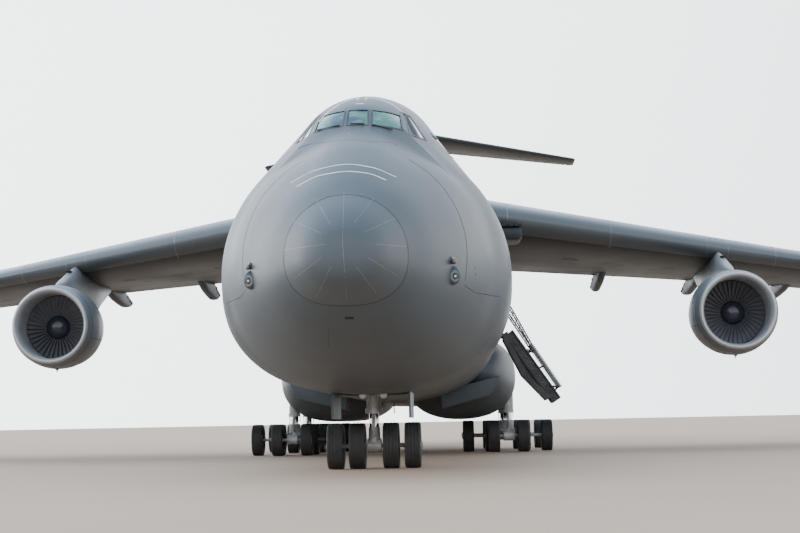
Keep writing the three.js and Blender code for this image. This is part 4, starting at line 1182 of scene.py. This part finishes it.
LEG = {"out": 4.17, "top": 2.7, "hole": 0.27}
BOGIES = [30.4, 36.0]


def make_pods():
    """The pods over the main gear, cut to the body's side, with the legs' openings."""
    rings = []
    for s in POD_STATIONS:
        _, out, half, z, tall = through(POD, s)
        rings.append([at(out + half * bent(c, 0.86), s, z + tall * bent(n, 0.86)) for c, n in circle(64)])
    pod = loft("pod", rings)
    trim = pod_trim(tree_of(pod))
    for s in BOGIES:
        cut(pod, bar("hole", at(LEG["out"], s, 0), at(LEG["out"], s, LEG["top"]), LEG["hole"], 32))
    cut(pod, SKIN, keep_tool=True)
    on_both_sides(pod, "gear_pod_skin_{}", "airframe", "skin", ["gear_pod_{}"], 35)
    on_both_sides(trim, "gear_pod_trim_{}")
    drop(pod, trim)


def pod_trim(tree):
    """The plate under the pod's air scoop, the scoop's slot and mouth in near-black painted shade, a lamp,
    and the gear doors' outlines.
    """
    plate = drawn_back("plate", [(1.62, 2.27), (3.75, 2.78), (3.42, 2.1), (1.70, 1.66)], 24.3, 25.7)
    slot = drawn_back("slot", [(1.6, 2.25), (2.58, 2.5), (2.94, 3.08), (2.3, 3.1), (1.6, 2.8)], 24.4, 25.2)
    mouth = [at(x, 24.3, z) for x, z in zip(even(1.58, 3.22, 12), even(2.36, 3.0, 12))]
    brow = [at(x, 24.3, z) for x, z in zip(even(1.58, 3.38, 12), even(2.47, 3.15, 12))]
    lamp = laid([at(2.95, 24.0, 3.12)], tree)[0]
    pieces = [coated(bevelled(plate, 0.03, 3), "nose"), coated(slot, "dark"),
              ribbon("mouth", laid(mouth, tree), 0.17, "dark", 0.012),
              ribbon("brow", laid(brow, tree), 0.05, "nose", 0.02), button(*lamp, 0.05, 0.05, "lamp")]
    lines = []
    for s in POD_DOORS:
        turns = [math.radians(turn) for turn in even(-5, -90, 24)]
        lines.append([at(0, s, 3) + Vector((math.cos(a), 0, math.sin(a))) * 3 for a in turns])
    for a in (math.radians(-14), math.radians(-62)):
        out = Vector((math.cos(a), 0, math.sin(a))) * 2
        lines.append([at(2.35, s, 2.88) + out for s in even(POD_DOORS[0], POD_DOORS[-1], 20)])
    pieces += [ribbon("edge", laid(line, tree), 0.022, "seal") for line in lines]
    return joined("pod_trim", pieces)


# Wheels.
WHEEL = {"radius": 0.6105, "half": 0.215}
AXLE_Z = 0.632 * math.cos(math.pi / 12)
BOGIE = {"reach": 0.825, "front": 0.56, "pair": 1.105, "spread": 0.432}
NOSE_LEG = 11.0
NOSE_PAIR = {"out": 0.74, "spread": 0.29}
TYRE_SIDE = [(0.30, 0.60), (0.42, 0.85), (0.50, 0.97), (0.56, 1.0), (0.595, 0.93), (0.608, 0.78)]
RIM = [(0.6, 0.30), (0.66, 0.315), (0.66, 0.295), (0.3, 0.27), (0.12, 0.20), (0.34, 0.15), (0.62, 0.14),
       (0.66, 0.10), (0.66, 0.064), (-0.66, 0.064), (-0.66, 0.2), (-0.6, 0.30)]


def one_wheel():
    """A tyre with grooves and its hub, about X, with the hub's open face towards +X."""
    r, h = WHEEL["radius"], WHEEL["half"]
    right = [(radius, share * h) for radius, share in TYRE_SIDE]
    for groove in (0.62, 0.22):
        for radius, off in ((r, 0.06), (r - 0.012, 0.05), (r - 0.012, -0.05), (r, -0.06)):
            right.append((radius, (groove + off) * h))
    profile = [(x, radius) for radius, x in right] + [(-x, radius) for radius, x in reversed(right)]
    tyre = turned("tyre", profile, 56, axis=(1, 0, 0))
    hub = turned("hub", [(share * h, radius) for share, radius in RIM], 40, axis=(1, 0, 0))
    bolts = []
    for c, s in circle(10):
        spot = step(0, c * 0.235, s * 0.235)
        bolts.append(bar("bolt", spot + step(0.16 * h), spot + step(0.42 * h), 0.018, 6))
    return built("wheel", tyre=[tyre], hub=[hub], gear=bolts)


def make_wheels():
    wheel = one_wheel()
    smooth(wheel, 40)
    flip = Matrix.Rotation(math.pi, 4, "Z")

    def pair(name, x, station, spread, axle=False):
        pieces = []
        for hand, turn in ((1, Matrix()), (-1, flip)):
            place = Matrix.Translation(at(x + hand * spread, station, AXLE_Z))
            pieces.append(copied(wheel, "wheel", place @ turn))
        if axle:
            ends = (at(x - spread, station, AXLE_Z), at(x + spread, station, AXLE_Z))
            pieces.append(coated(bar("axle", *ends, 0.06, 24), "gear"))
        piece = joined(f"{name}_tyres", pieces)
        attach(piece, name)
        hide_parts(name)

    for side, hand in SIDES:
        pair(f"nose_leg_wheels_{side}", hand * NOSE_PAIR["out"], NOSE_LEG, NOSE_PAIR["spread"])
        for row, station in zip(("forward", "aft"), BOGIES):
            name = f"bogie_{row}_{side}_wheels"
            x = hand * LEG["out"]
            pair(f"{name}_front", x, station - BOGIE["reach"], BOGIE["front"], True)
            for label, way in (("outer", hand), ("inner", -hand)):
                pair(f"{name}_{label}", x + way * BOGIE["pair"], station + BOGIE["reach"], BOGIE["spread"])
    drop(wheel)


# Details that lie on the skin. Places marked "seen" are points of the picture, taken onto the body.
def spread_out(points, steps):
    """Points along a smooth line through a few."""
    rows = [(float(k), *p) for k, p in enumerate(points)]
    return [through(rows, s)[1:] for s in even(0, len(points) - 1, steps)]


def seen_line(points, steps):
    return [on_skin(x, y) for x, y in spread_out(points, steps)]


def seen_tick(x, y, half, look):
    """A short upright mark on the skin."""
    return ribbon("mark", seen_line(((x, y - half), (x, y + half)), 2), 0.03, look)


def sides_of(corners, steps):
    """Points along each side of a closed outline."""
    return [[tuple(p + (q - p) * k / steps for p, q in zip(a, b)) for k in range(steps + 1)]
            for a, b in zip(corners, corners[1:] + corners[:1])]


def ribbon(name, line, width, look, lift=0.004):
    """A thin strip with a width, laid along points of a surface and standing a little proud of it."""
    fresh()
    count = len(line)
    bpy.ops.mesh.primitive_grid_add(x_subdivisions=count - 1, y_subdivisions=1, size=2)
    strip = bpy.context.object
    for vert in strip.data.vertices:
        k = round((vert.co.x + 1) / 2 * (count - 1))
        hand = math.copysign(0.5, vert.co.y)
        spot, normal = line[k]
        ahead = line[min(k + 1, count - 1)][0] - line[max(k - 1, 0)][0]
        vert.co = spot + normal.cross(ahead.normalized()) * (hand * width * SCALE) + normal * (lift * SCALE)
    thickened(strip, 2 * lift, -1)
    strip.name = name
    return coated(strip, look)


def button(place, normal, radius, height, look, sides=20):
    """A round button with a turned edge that stands on a surface."""
    profile = [(-0.01, 0.0), (-0.01, radius), (height * 0.6, radius), (height, radius * 0.8), (height, 0.0)]
    return coated(turned("button", profile, sides, place, normal), look)


def ball(place, radius, squash=(1, 1, 1)):
    fresh()
    bpy.ops.mesh.primitive_uv_sphere_add(segments=20, ring_count=12, radius=radius * SCALE)
    piece = bpy.context.object
    piece.data.transform(Matrix.Translation(place) @ Matrix.Diagonal((*squash, 1)))
    return piece


def ring_line(station, width, look, count=96):
    ring = body_ring(station, 0.0)
    ring = [ring[k * len(ring) // count] for k in range(count)]
    return ribbon("ring", laid(ring + ring[:1]), width, look)


RADIAL_STRIPS = [
    ((315.8, 199), (330.8, 225)), ((293.3, 221), (320.8, 233)), ((284.5, 250), (325, 244)),
    ((293.3, 279), (320.8, 258)), ((316.7, 296.7), (330.8, 266.7)), ((375.8, 292.5), (356.7, 266.7)),
    ((399, 276.7), (367.5, 257.5)), ((406.2, 246.7), (375, 244)), ((395.8, 218), (365, 231.7)),
    ((374, 198), (354, 223)), ((344, 192), (342.5, 242)), ((342.5, 242), (346.7, 301)),
]
GUIDE_LINES = [
    ((290, 183), (318, 169.5), (348, 164.3), (372, 167.5), (396, 177)),
    ((296, 187), (320, 175.5), (348, 171.5), (368, 173.5), (386, 180)),
]
CHIN_LINES = [
    ((328.8, 328), (328.8, 347)), ((373.5, 328), (375, 335)), ((331.5, 141.5), (350, 140), (371.5, 141.5)),
    ((298, 148), (312, 143.5), (331, 141.5)), ((372, 141.5), (386, 142), (398, 145)),
]
# Guide lines on the crown, as (distance to port, station), each with its width.
CROWN_LINES = [
    (((-1.0, 6.75), (-0.7, 7.3), (-0.4, 7.9), (-0.12, 8.35)), 0.10),
    (((0.12, 8.4), (0.45, 8.2), (0.8, 8.0), (1.0, 7.75)), 0.10),
    (((-0.1, 7.7), (-0.1, 8.5)), 0.04),
    (((0.1, 7.7), (0.1, 8.5)), 0.04),
    (((-0.1, 6.95), (0.1, 6.95)), 0.08),
]
WIPERS = (((338.5, 126), (318, 131)), ((372.5, 125.5), (392, 130.5)), ((363, 124.5), (350, 124.5)))
SENSORS = (((250.5, 266), (251.2, 281)), ((451.7, 260.5), (452.8, 276.3)))
# Aerials: station, distance to port, up (1) or down (-1), and size.
AERIALS = ((14.6, 0, 1, 0.34), (15.9, 0.3, 1, 0.24), (18.4, 0, 1, 0.4), (20.6, -0.4, -1, 0.34),
           (24.0, 0, -1, 0.42), (40.5, 0, 1, 0.36))


def dress_radome():
    strips = [ribbon("strip", seen_line(line, 10), 0.011, "strip", 0.003) for line in RADIAL_STRIPS]
    strips += [button(*on_skin(*spot), 0.022, 0.012, "strip") for spot in ((327, 196), (361, 195))]
    grouped("radome_strips", strips, "nose_visor")
    grouped("radome_rim", [ring_line(RADOME_BACK, 0.03, "frame")], "nose_visor")


def dress_visor():
    guides = [ribbon("guide", seen_line(line, 30), 0.04, "mark") for line in GUIDE_LINES]
    grouped("nose_guide_arcs", guides, "nose_visor")
    ticks = [seen_tick(x, y, 1.3, "seal") for x, y in ((475, 268.5), (475.5, 274.5))]
    grouped("chin_port", [dark_slot(*on_skin(349.3, 318), 0.10, 0.045), *ticks], "nose_visor")
    lines = [ribbon("line", seen_line(line, 12), 0.014, "seal", 0.002) for line in CHIN_LINES]
    (s_top, z_top), (s, z) = NOSE_BREAK[:2]
    lean = (s_top - s) / (z_top - z)
    for hand in (1, -1):
        spots = [skin_beside(hand, s - 0.03 + lean * rise, z + rise) for rise in even(0.1, 2.98, 24)]
        lines.append(ribbon("seal", laid(spots), 0.03, "seal", 0.003))
    grouped("nose_panel_lines", lines, "nose_visor")


def dark_slot(place, normal, half_wide, half_high):
    """A rounded opening in the skin, wider than it is high, filled with a near-black piece as painted shade.
    """
    up = normal.cross(Vector((1, 0, 0))).normalized()
    across = up.cross(normal)
    outline = []
    for c, s in circle(20):
        off = across * half_wide * bent(c, 0.6) + up * half_high * bent(s, 0.8) - normal * 0.02
        outline.append(place + off * SCALE)
    return coated(bevelled(prism("slot", outline, normal * 0.025 * SCALE), 0.003), "dark")


def dress_sensors():
    """On each side a small domed probe, and under it a round lamp in a pale housing."""
    pieces = []
    shell = [(-0.12, 0.0), (-0.12, 0.12), (-0.02, 0.14), (0.06, 0.134), (0.085, 0.115), (0.085, 0.072),
             (0.05, 0.066), (0.05, 0.0)]
    well = [(0.045, 0.0), (0.045, 0.066), (0.074, 0.064), (0.074, 0.0)]
    for upper, lower in SENSORS:
        place, normal = on_skin(*upper)
        foot = place + normal * 0.05 * SCALE
        pieces.append(button(place, normal, 0.085, 0.02, "nose", 28))
        stem = bar("foot", place - normal * 0.02 * SCALE, foot + step(z=0.04), 0.07, 24, 0.05)
        pieces.append(coated(stem, "cowl"))
        pieces.append(coated(ball(foot + step(0, -0.03, -0.03), 0.062), "core"))
        place, normal = on_skin(*lower)
        tilt = (normal + AHEAD * 1.2).normalized()
        place = place + normal * 0.015 * SCALE
        base = ball(place - tilt * 0.02 * SCALE + step(z=0.02), 0.17, (1.0, 0.5, 1.25))
        pieces.append(coated(base, "nose"))
        pieces.append(coated(turned("housing", shell, 40, place, tilt), "cowl"))
        pieces.append(coated(turned("well", well, 32, place, tilt), "dark"))
        pieces.append(coated(ball(place + tilt * 0.07 * SCALE, 0.032), "lamp"))
    grouped("nose_sensors", pieces, "nose_visor")


def thin_shell(outside, inside):
    return cut(hull("shell", outside, 4.4, 11), hull("shell_inside", inside, 4.2, 11.2))


def make_panes():
    glass = thin_shell(-0.012, -0.05)
    panes = []
    for tool, look in zip(window_tools(), PANE_LOOKS):
        if look == "open":
            drop(tool)
        else:
            panes.append(coated(kept(copied(glass, "pane"), tool), look))
    drop(glass)
    finished(joined("flight_deck_panes", panes), "airframe", None, ["flight_deck_glass"])


def make_frames():
    rim = thin_shell(0.008, -0.06)
    tools = zip(window_tools(0.028), window_tools(-0.006))
    frames = [cut(kept(copied(rim, "frame"), outer), inner) for outer, inner in tools]
    drop(rim)
    grouped("window_frames", frames, look="frame")


def make_wipers():
    wipers = []
    for a, b in WIPERS:
        (p, n), (q, m) = on_skin(*a), on_skin(*b)
        wipers.append(bar("blade", p + n * 0.03 * SCALE, q + m * 0.03 * SCALE, 0.016))
        wipers.append(button(p, n, 0.035, 0.04, "frame"))
    grouped("wipers", wipers, look="frame")


def dress_crown():
    crown = []
    for line, width in CROWN_LINES:
        spots = [skin_from(x, s, -1) for x, s in spread_out(line, 12)]
        crown.append(ribbon("guide", spots, width, "mark"))
    crown += [seen_tick(x, y, 1, "core") for x, y in ((349, 129.5), (349.2, 133.5))]
    grouped("crown_guides", crown)


def dress_body():
    """Seams round the body, its doors' outlines, and aerials."""
    lines = [ring_line(s, 0.012, "seal") for s in (FORE_JOINT, 27.0, 36.3, AFT_JOINT)]
    aft_door, small_door = box_corners(40.2, 41.2, 3.2, 5.2), box_corners(13.2, 14.0, 7.6, 8.9)
    for hand, corners in ((1, aft_door), (-1, aft_door), (-1, small_door)):
        for edge in sides_of(corners, 8):
            spots = [skin_beside(hand, s, z) for s, z in edge]
            lines.append(ribbon("edge", laid(spots), 0.02, "seal"))
    grouped("body_seams", lines)
    grouped("aerials", [aerial(skin_from(x, s, -way)[0], way, size) for s, x, way, size in AERIALS])


def aerial(foot, way, size):
    """A swept blade aerial: an aerofoil extruded up from its foot."""
    rings = []
    for share in (-0.1, 0.0, 0.5, 0.9, 1.0):
        chord = size * (1 - 0.45 * max(share, 0)) * (0.7 if share == 1.0 else 1)
        rings.append([foot + step(0.02 * s, 0.5 * chord * c + 0.45 * size * share, way * size * share)
                      for c, s in circle(16)])
    return coated(loft("aerial", rings), "seal")


# Access covers under the wing: distance out, share of the chord, width, and depth as a share.
COVERS = ((6.3, 0.30, 0.55, 0.035), (7.9, 0.34, 0.8, 0.05), (10.2, 0.3, 0.5, 0.03), (14.4, 0.28, 0.6, 0.05),
          (17.0, 0.3, 0.5, 0.04), (22.0, 0.3, 0.5, 0.05))
SPOILER = (0.62, 0.735)


def dress_wings(tree):
    """Slat joints, panel outlines and access covers on both wings."""
    lines = []

    def strip(points, width, look, lift=0.004):
        lines.append(ribbon("strip", laid(points, tree), width, look, lift))

    def spanwise(start, end, steps, share, side):
        return [on_wing(x, share, side) for x in even(start, end, steps)]

    def chordwise(x, upper, lower):
        shares = even(0, 1, 6)
        return ([on_wing(x, upper * (1 - k) ** 2, 1) for k in shares]
                + [on_wing(x, lower * k**2, -1) for k in shares[1:]])

    for x in (4.1, 7.85, 14.38, 20.6, 27.2, 32.9):
        strip(chordwise(x, 0.13, 0.07), 0.045, "strip")
    for side, share in ((1, SLAT["top"]), (-1, SLAT["under"])):
        strip(spanwise(3.9, 32.9, 40, share, side), 0.02, "seal", 0.003)
    for x, _, _ in ENGINES[:2]:
        for edge in (-0.42, 0.42):
            strip(chordwise(x + edge, 0.05, 0.03), 0.03, "strip")
        strip(spanwise(x - 0.42, x + 0.42, 4, 0.05, 1), 0.03, "strip")
    for x, f, wide, deep in COVERS:
        for edge in sides_of(box_corners(x, x + wide, f, f + deep), 4):
            strip([on_wing(a, b, -1) for a, b in edge], 0.018, "seal")
    for share in SPOILER:
        strip(spanwise(4.4, 22.0, 24, share, 1), 0.03, "seal", 0.003)
    for x in (4.4, 6.9, 9.4, 11.9, 14.4, 16.9, 19.4, 22.0):
        strip([on_wing(x, share, 1) for share in even(*SPOILER, 4)], 0.03, "seal", 0.003)
    for spot, normal in laid(spanwise(5.2, 30.8, 16, 0.45, -1), tree):
        lines.append(button(spot, normal, 0.13, 0.006, "wing", 24))
    first = joined("wing_lines", lines)
    on_both_sides(first, "wing_lines_{}")
    drop(first)


# The root intake's sections: station, lowest and highest z, distance out.
ROOT_INTAKE = ((22.45, 7.46, 7.74, 4.48), (22.5, 7.40, 7.80, 4.56), (22.75, 7.38, 7.82, 4.60),
               (24.2, 7.40, 7.9, 4.58), (25.6, 7.5, 7.95, 4.45), (26.4, 7.66, 7.98, 4.2))


def make_root_intakes():
    """The cooling intake under each wing root: a rounded box with slots above and below its front, drawn as
    near-black blocks of painted shade.
    """
    rings = []
    for s, low, high, out in ROOT_INTAKE:
        corners = [(2.6, low), (out - 0.1, low), (out, low + 0.1), (out, high - 0.08), (out - 0.08, high),
                   (2.6, high)]
        rings.append([at(x, s, z) for x, z in corners])
    box = bevelled(loft("intake_box", rings), 0.03)
    slots = [block("slot", x, x + 0.19, 22.42, 23.3, 7.83, 7.90, 0.01) for x in even(3.24, 4.315, 5)]
    slots.append(block("slot", 3.3, 3.95, 22.42, 22.9, 7.345, 7.40, 0.01))
    roof = block("roof", 2.8, 4.58, 22.5, 25.0, 7.90, 7.935, 0.012)
    first = built("root_intake", wing=[box, roof], dark=slots)
    on_both_sides(first, "root_intake_{}")
    drop(first)


DRAIN = ((-0.03, 0.85, -1.44), (-0.03, 1.15, -1.47), (-0.02, 1.12, -1.55), (-0.02, 1.0, -1.55))


def dress_engines():
    """Panel rings and split lines on each cowl, the small drain under it, and a vent on each pylon, a
    near-black block of painted shade.
    """
    lines = []
    for y, wide in ((0.42, 0.012), (1.62, 0.014), (2.35, 0.012)):
        r = cowl_radius(y)
        lines.append(turned("ring", box_corners(y - wide, y + wide, r - 0.02, r + 0.004), 80))
    for turn in (math.pi, math.radians(108), -math.radians(108)):
        out = Vector((math.sin(turn), 0, math.cos(turn)))
        spots = [(out * cowl_radius(y) * SCALE + step(0, y), out) for y in even(0.42, 3.42, 12)]
        lines.append(ribbon("split", spots, 0.018, "seal"))
    drain = prism("drain", [step(*spot) for spot in DRAIN], step(0.07))
    pipe = bar("pipe", step(0, 1.05, -1.54), step(0, 1.07, -1.62), 0.018, 10)
    on_each_engine(built("engine_trim", seal=lines, cowl=[drain], dark=[pipe]), "engine_trim_{}")
    vents = [block("vent", x - 0.09, x + 0.09, lip + 2.62, lip + 2.9, z + 2.13, z + 2.18, 0.01)
             for x, lip, z in ENGINES]
    grouped("pylon_vents", vents, look="dark")


LANES = (-1.45, -0.5, 0.5, 1.45)


def roller_lane(foot, head, lift, gap=0.36):
    """Two rails with rollers between them, along a floor that faces the way lift points."""
    pieces = []
    for side in (-0.17, 0.17):
        shift = step(side) + lift * 0.02 * SCALE
        pieces.append(bar("rail", foot + shift, head + shift, 0.025))
    first = bar("roller", step(-0.15), step(0.15), 0.035)
    count = round((head - foot).length / SCALE / gap)
    for k in range(count):
        spot = foot.lerp(head, (k + 0.5) / count) + lift * 0.025 * SCALE
        pieces.append(copied(first, "roller", Matrix.Translation(spot)))
    drop(first)
    return pieces


def make_rollers():
    """Lanes of rollers for pallets, on the hold's floor and on both ramps."""
    lanes = {"forward_ramp": [], "airframe": [], "aft_ramp": []}
    for x in LANES:
        top = 6.4 if abs(x) < 1 else 5.7
        lanes["forward_ramp"] += roller_lane(at(x, 7.36, 3.45), at(x, 7.36, top), -AHEAD)
        lanes["airframe"] += roller_lane(at(x, 7.7, 2.95), at(x, 45.3, 2.95), UP)
        lanes["aft_ramp"] += roller_lane(at(x, 46.0, ramp_top(46.0)), at(x, 50.9, ramp_top(50.9)), UP)
    for body, pieces in lanes.items():
        name = "hold_rollers" if body == "airframe" else f"{body}_rollers"
        grouped(name, pieces, body, "beam")


STAIR = {"long": 2.38, "side": 0.42, "turn": 146, "hinge": (3.5305, CREW["station"], 3.605)}
STAIR_POSTS = (((0.74, 0.52), (0.9, 0.26)), ((0.9, 0.5), (0.62, 0.2)), ((1.4, 0.5), (1.34, 0.28)),
               ((2.1, 0.48), (1.86, 0.16)), ((2.1, 0.48), (2.12, 0.28)))
STAIR_ARMS = (((-0.52, 0.66), (0.74, 0.53)), ((-0.40, 0.50), (0.74, 0.47)), ((-0.40, 0.50), (-0.52, 0.66)))


def make_stairs():
    """The crew door's stairs: stringers with a lattice, treads, and a rail, drawn in the open door's frame.
    Places are (distance down the door from its hinge, distance in front of it)."""
    turn = math.radians(STAIR["turn"])
    down = Vector((math.sin(turn), 0, math.cos(turn)))
    out = Vector((-math.cos(turn), 0, math.sin(turn)))
    long = STAIR["long"]
    parts = {"stair": [], "beam": [], "hatch": [], "tread": []}

    def spot(along, off, side):
        return at(*(Vector(STAIR["hinge"]) + down * along + out * off + Vector((0, side, 0))))

    def rods(look, radius, sides, *lines):
        for a, b in lines:
            for side in (-STAIR["side"], STAIR["side"]):
                parts[look].append(bar("rod", spot(*a, side), spot(*b, side), radius, sides))

    def sheet(outline, side, wide):
        return prism("sheet", [spot(along, off, side) for along, off in outline], step(0, wide))

    rods("stair", 0.034, 8, ((0.05, 0.08), (long, 0.08)), ((0.05, 0.30), (long, 0.30)))
    marks = even(0.08, long - 0.02, 10)
    for a, b in zip(marks, marks[1:]):
        rods("tread", 0.02, 6, ((a, 0.08), (b, 0.30)))
        rods("tread", 0.018, 6, ((b, 0.08), (b, 0.30)))
        rods("tread", 0.014, 6, ((b, 0.08), (a, 0.30)))
    rods("stair", 0.02, 8, *STAIR_POSTS)
    rods("stair", 0.022, 8, *STAIR_ARMS)
    for k in range(6):
        a, high, low = -0.42 + 0.19 * k, 0.64 - 0.018 * k, 0.50 - 0.005 * k
        rods("stair", 0.01, 6, ((a, low), (a + 0.095, high)), ((a + 0.095, high), (a + 0.19, low)))
    rods("beam", 0.04, 8, ((0.70, 0.52), (2.14, 0.49)))
    for k, a in enumerate(even(0.74, 2.10, 25)):
        rods("beam", 0.014, 6, ((a, 0.44 - 0.001 * k), (a, 0.58 - 0.001 * k)))
    for k in range(10):
        a = 0.16 + 0.235 * k
        parts["tread"].append(bevelled(sheet(box_corners(a, a + 0.035, 0.10, 0.31), -0.4, 0.8), 0.006))
    web = [(0.06, 0.09), (0.06, 0.29), (long, 0.29), (long, 0.09), (1.9, -0.03), (1.5, -0.10), (1.1, -0.11),
           (0.6, -0.04)]
    # The webs are near-black sheets: painted shade between the stringers.
    for side in (-STAIR["side"], STAIR["side"]):
        parts["hatch"].append(sheet(web, side - 0.006, 0.012))
    parts["stair"].append(bevelled(sheet(box_corners(0.1, 2.2, 0.03, 0.06), -0.5, 1.0), 0.01))
    finished(built("crew_stair_frame", **parts), "crew_door", None, ["crew_stairs"])


# Legs: bars of (name, end, end, radius, sides, last radius), with ends counted from the leg's place.
REACH = BOGIE["reach"]
BOGIE_END = BOGIE["pair"] + BOGIE["spread"] + 0.27
NOSE_END = NOSE_PAIR["out"] + NOSE_PAIR["spread"] + 0.27


def caps(end, back):
    """Caps on both ends of an axle."""
    return [("cap", (hand * (end - 0.07), back, AXLE_Z), (hand * (end - 0.02), back, AXLE_Z), 0.11, 24)
            for hand in (-1, 1)]


BOGIE_BARS = [
    ("lug", (-0.2, -REACH, AXLE_Z), (0.2, -REACH, AXLE_Z), 0.185, 32),
    ("lug", (-0.3, REACH, AXLE_Z), (0.3, REACH, AXLE_Z), 0.17, 32),
    ("knuckle", (0, 0, AXLE_Z + 0.1), (0, 0, 1.22), 0.25, 32, 0.22),
    ("case", (0, 0, 1.55), (0, 0, LEG["top"]), 0.2, 32),
    ("collar", (0, 0, 1.5), (0, 0, 1.62), 0.235, 32),
    ("axle", (-BOGIE_END, REACH, AXLE_Z), (BOGIE_END, REACH, AXLE_Z), 0.058, 24),
    ("link", (0, -0.2, 1.5), (0, -0.5, 1.22), 0.045, 12),
    ("link", (0, -0.5, 1.22), (0, -0.24, 0.92), 0.045, 12),
    ("rod", (-0.24, 0.1 - REACH, AXLE_Z + 0.24), (-0.24, REACH - 0.1, AXLE_Z + 0.24), 0.028, 12),
    ("rod", (0.24, 0.1 - REACH, AXLE_Z + 0.24), (0.24, REACH - 0.1, AXLE_Z + 0.24), 0.028, 12),
    *caps(BOGIE_END, REACH),
]
BOGIE_PISTON = [("piston", (0, 0, 1.15), (0, 0, 1.6), 0.155, 32)]
BOGIE_PIPES = [
    ("pipe", (0.21, 0.1, 1.3), (0.21, 0.1, 2.3), 0.014),
    ("pipe", (-0.2, 0.12, 0.95), (-0.21, 0.1, 1.9), 0.014),
]
NOSE_BARS = [
    ("case", (0, 0, 1.5), (0, 0, BAY["roof"]), 0.19, 32),
    ("collar", (0, 0, 1.46), (0, 0, 1.6), 0.23, 32),
    ("knuckle", (-0.19, 0, AXLE_Z), (0.19, 0, AXLE_Z), 0.19, 32),
    ("post", (0, 0, AXLE_Z), (0, 0, 1.1), 0.17, 32, 0.15),
    ("axle", (-NOSE_END, 0, AXLE_Z), (NOSE_END, 0, AXLE_Z), 0.058, 24),
    ("link", (0, -0.18, 1.46), (0, -0.44, 1.16), 0.045, 12),
    ("link", (0, -0.44, 1.16), (0, -0.16, 0.86), 0.045, 12),
    ("brace", (-0.07, -0.1, 1.7), (-0.3, -0.62, 2.55), 0.04, 12),
    ("brace", (0.07, -0.1, 1.7), (0.3, -0.62, 2.55), 0.04, 12),
    ("lamp_bar", (-0.34, -0.24, 1.95), (0.34, -0.24, 1.95), 0.025, 12),
    ("lamp", (-0.28, -0.3, 1.95), (-0.28, -0.2, 1.95), 0.1, 24, 0.06),
    ("lamp", (0.28, -0.3, 1.95), (0.28, -0.2, 1.95), 0.1, 24, 0.06),
    *caps(NOSE_END, 0),
]
NOSE_PISTON = [("piston", (0, 0, 1.0), (0, 0, 1.5), 0.13, 32)]


def make_bogie_legs():
    """Legs with their beams, torque links, pistons and pipes."""
    for side, hand in SIDES:
        for row, station in zip(("forward", "aft"), BOGIES):
            x = hand * LEG["out"]
            front, back = station - REACH - 0.1, station + REACH + 0.1
            beam = block("beam", x - 0.16, x + 0.16, front, back, AXLE_Z - 0.13, AXLE_Z + 0.19)
            piece = built(f"bogie_gear_{row}_{side}",
                          gear=[bevelled(beam, 0.05, 3), *bars(BOGIE_BARS, x, station)],
                          chrome=bars(BOGIE_PISTON, x, station), dark=bars(BOGIE_PIPES, x, station))
            body = f"aft_bogie_{side}" if row == "aft" else "airframe"
            finished(piece, body, None, [f"bogie_{row}_{side}"])


def make_nose_leg():
    lamps = [button(at(x, NOSE_LEG - 0.3, 1.95), AHEAD, 0.085, 0.012, "lamp", 24) for x in (-0.28, 0.28)]
    piece = built("nose_gear_leg", gear=bars(NOSE_BARS, 0, NOSE_LEG), chrome=bars(NOSE_PISTON, 0, NOSE_LEG),
                  lamp=lamps)
    finished(piece, "nose_gear", None, ["nose_leg"])


def repaint_nodes():
    """The CAD's own solids that stay in view get their finish."""
    # The crew door takes the near-black hatch look as painted shade, where it hangs open in shadow.
    looks = {"crew_door": "hatch", "forward_ramp": "plate", "nose_gear_door_port": "skin",
             "nose_gear_door_starboard": "skin"}
    for name, look in looks.items():
        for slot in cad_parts[name].material_slots:
            slot.material = materials[look]


make_radome()
make_visor()
make_forward_body()
make_middle_body()
make_aft_body()
dress_radome()
dress_visor()
dress_sensors()
make_panes()
make_frames()
make_wipers()
dress_crown()
dress_body()
make_wings()
make_fairings()
make_root_intakes()
make_tailplane()
make_fin()
make_cowls()
make_fans()
make_pylons()
dress_engines()
make_pods()
make_wheels()
make_stairs()
make_rollers()
make_bogie_legs()
make_nose_leg()
repaint_nodes()
drop(SKIN)
add_sky()
add_floor()
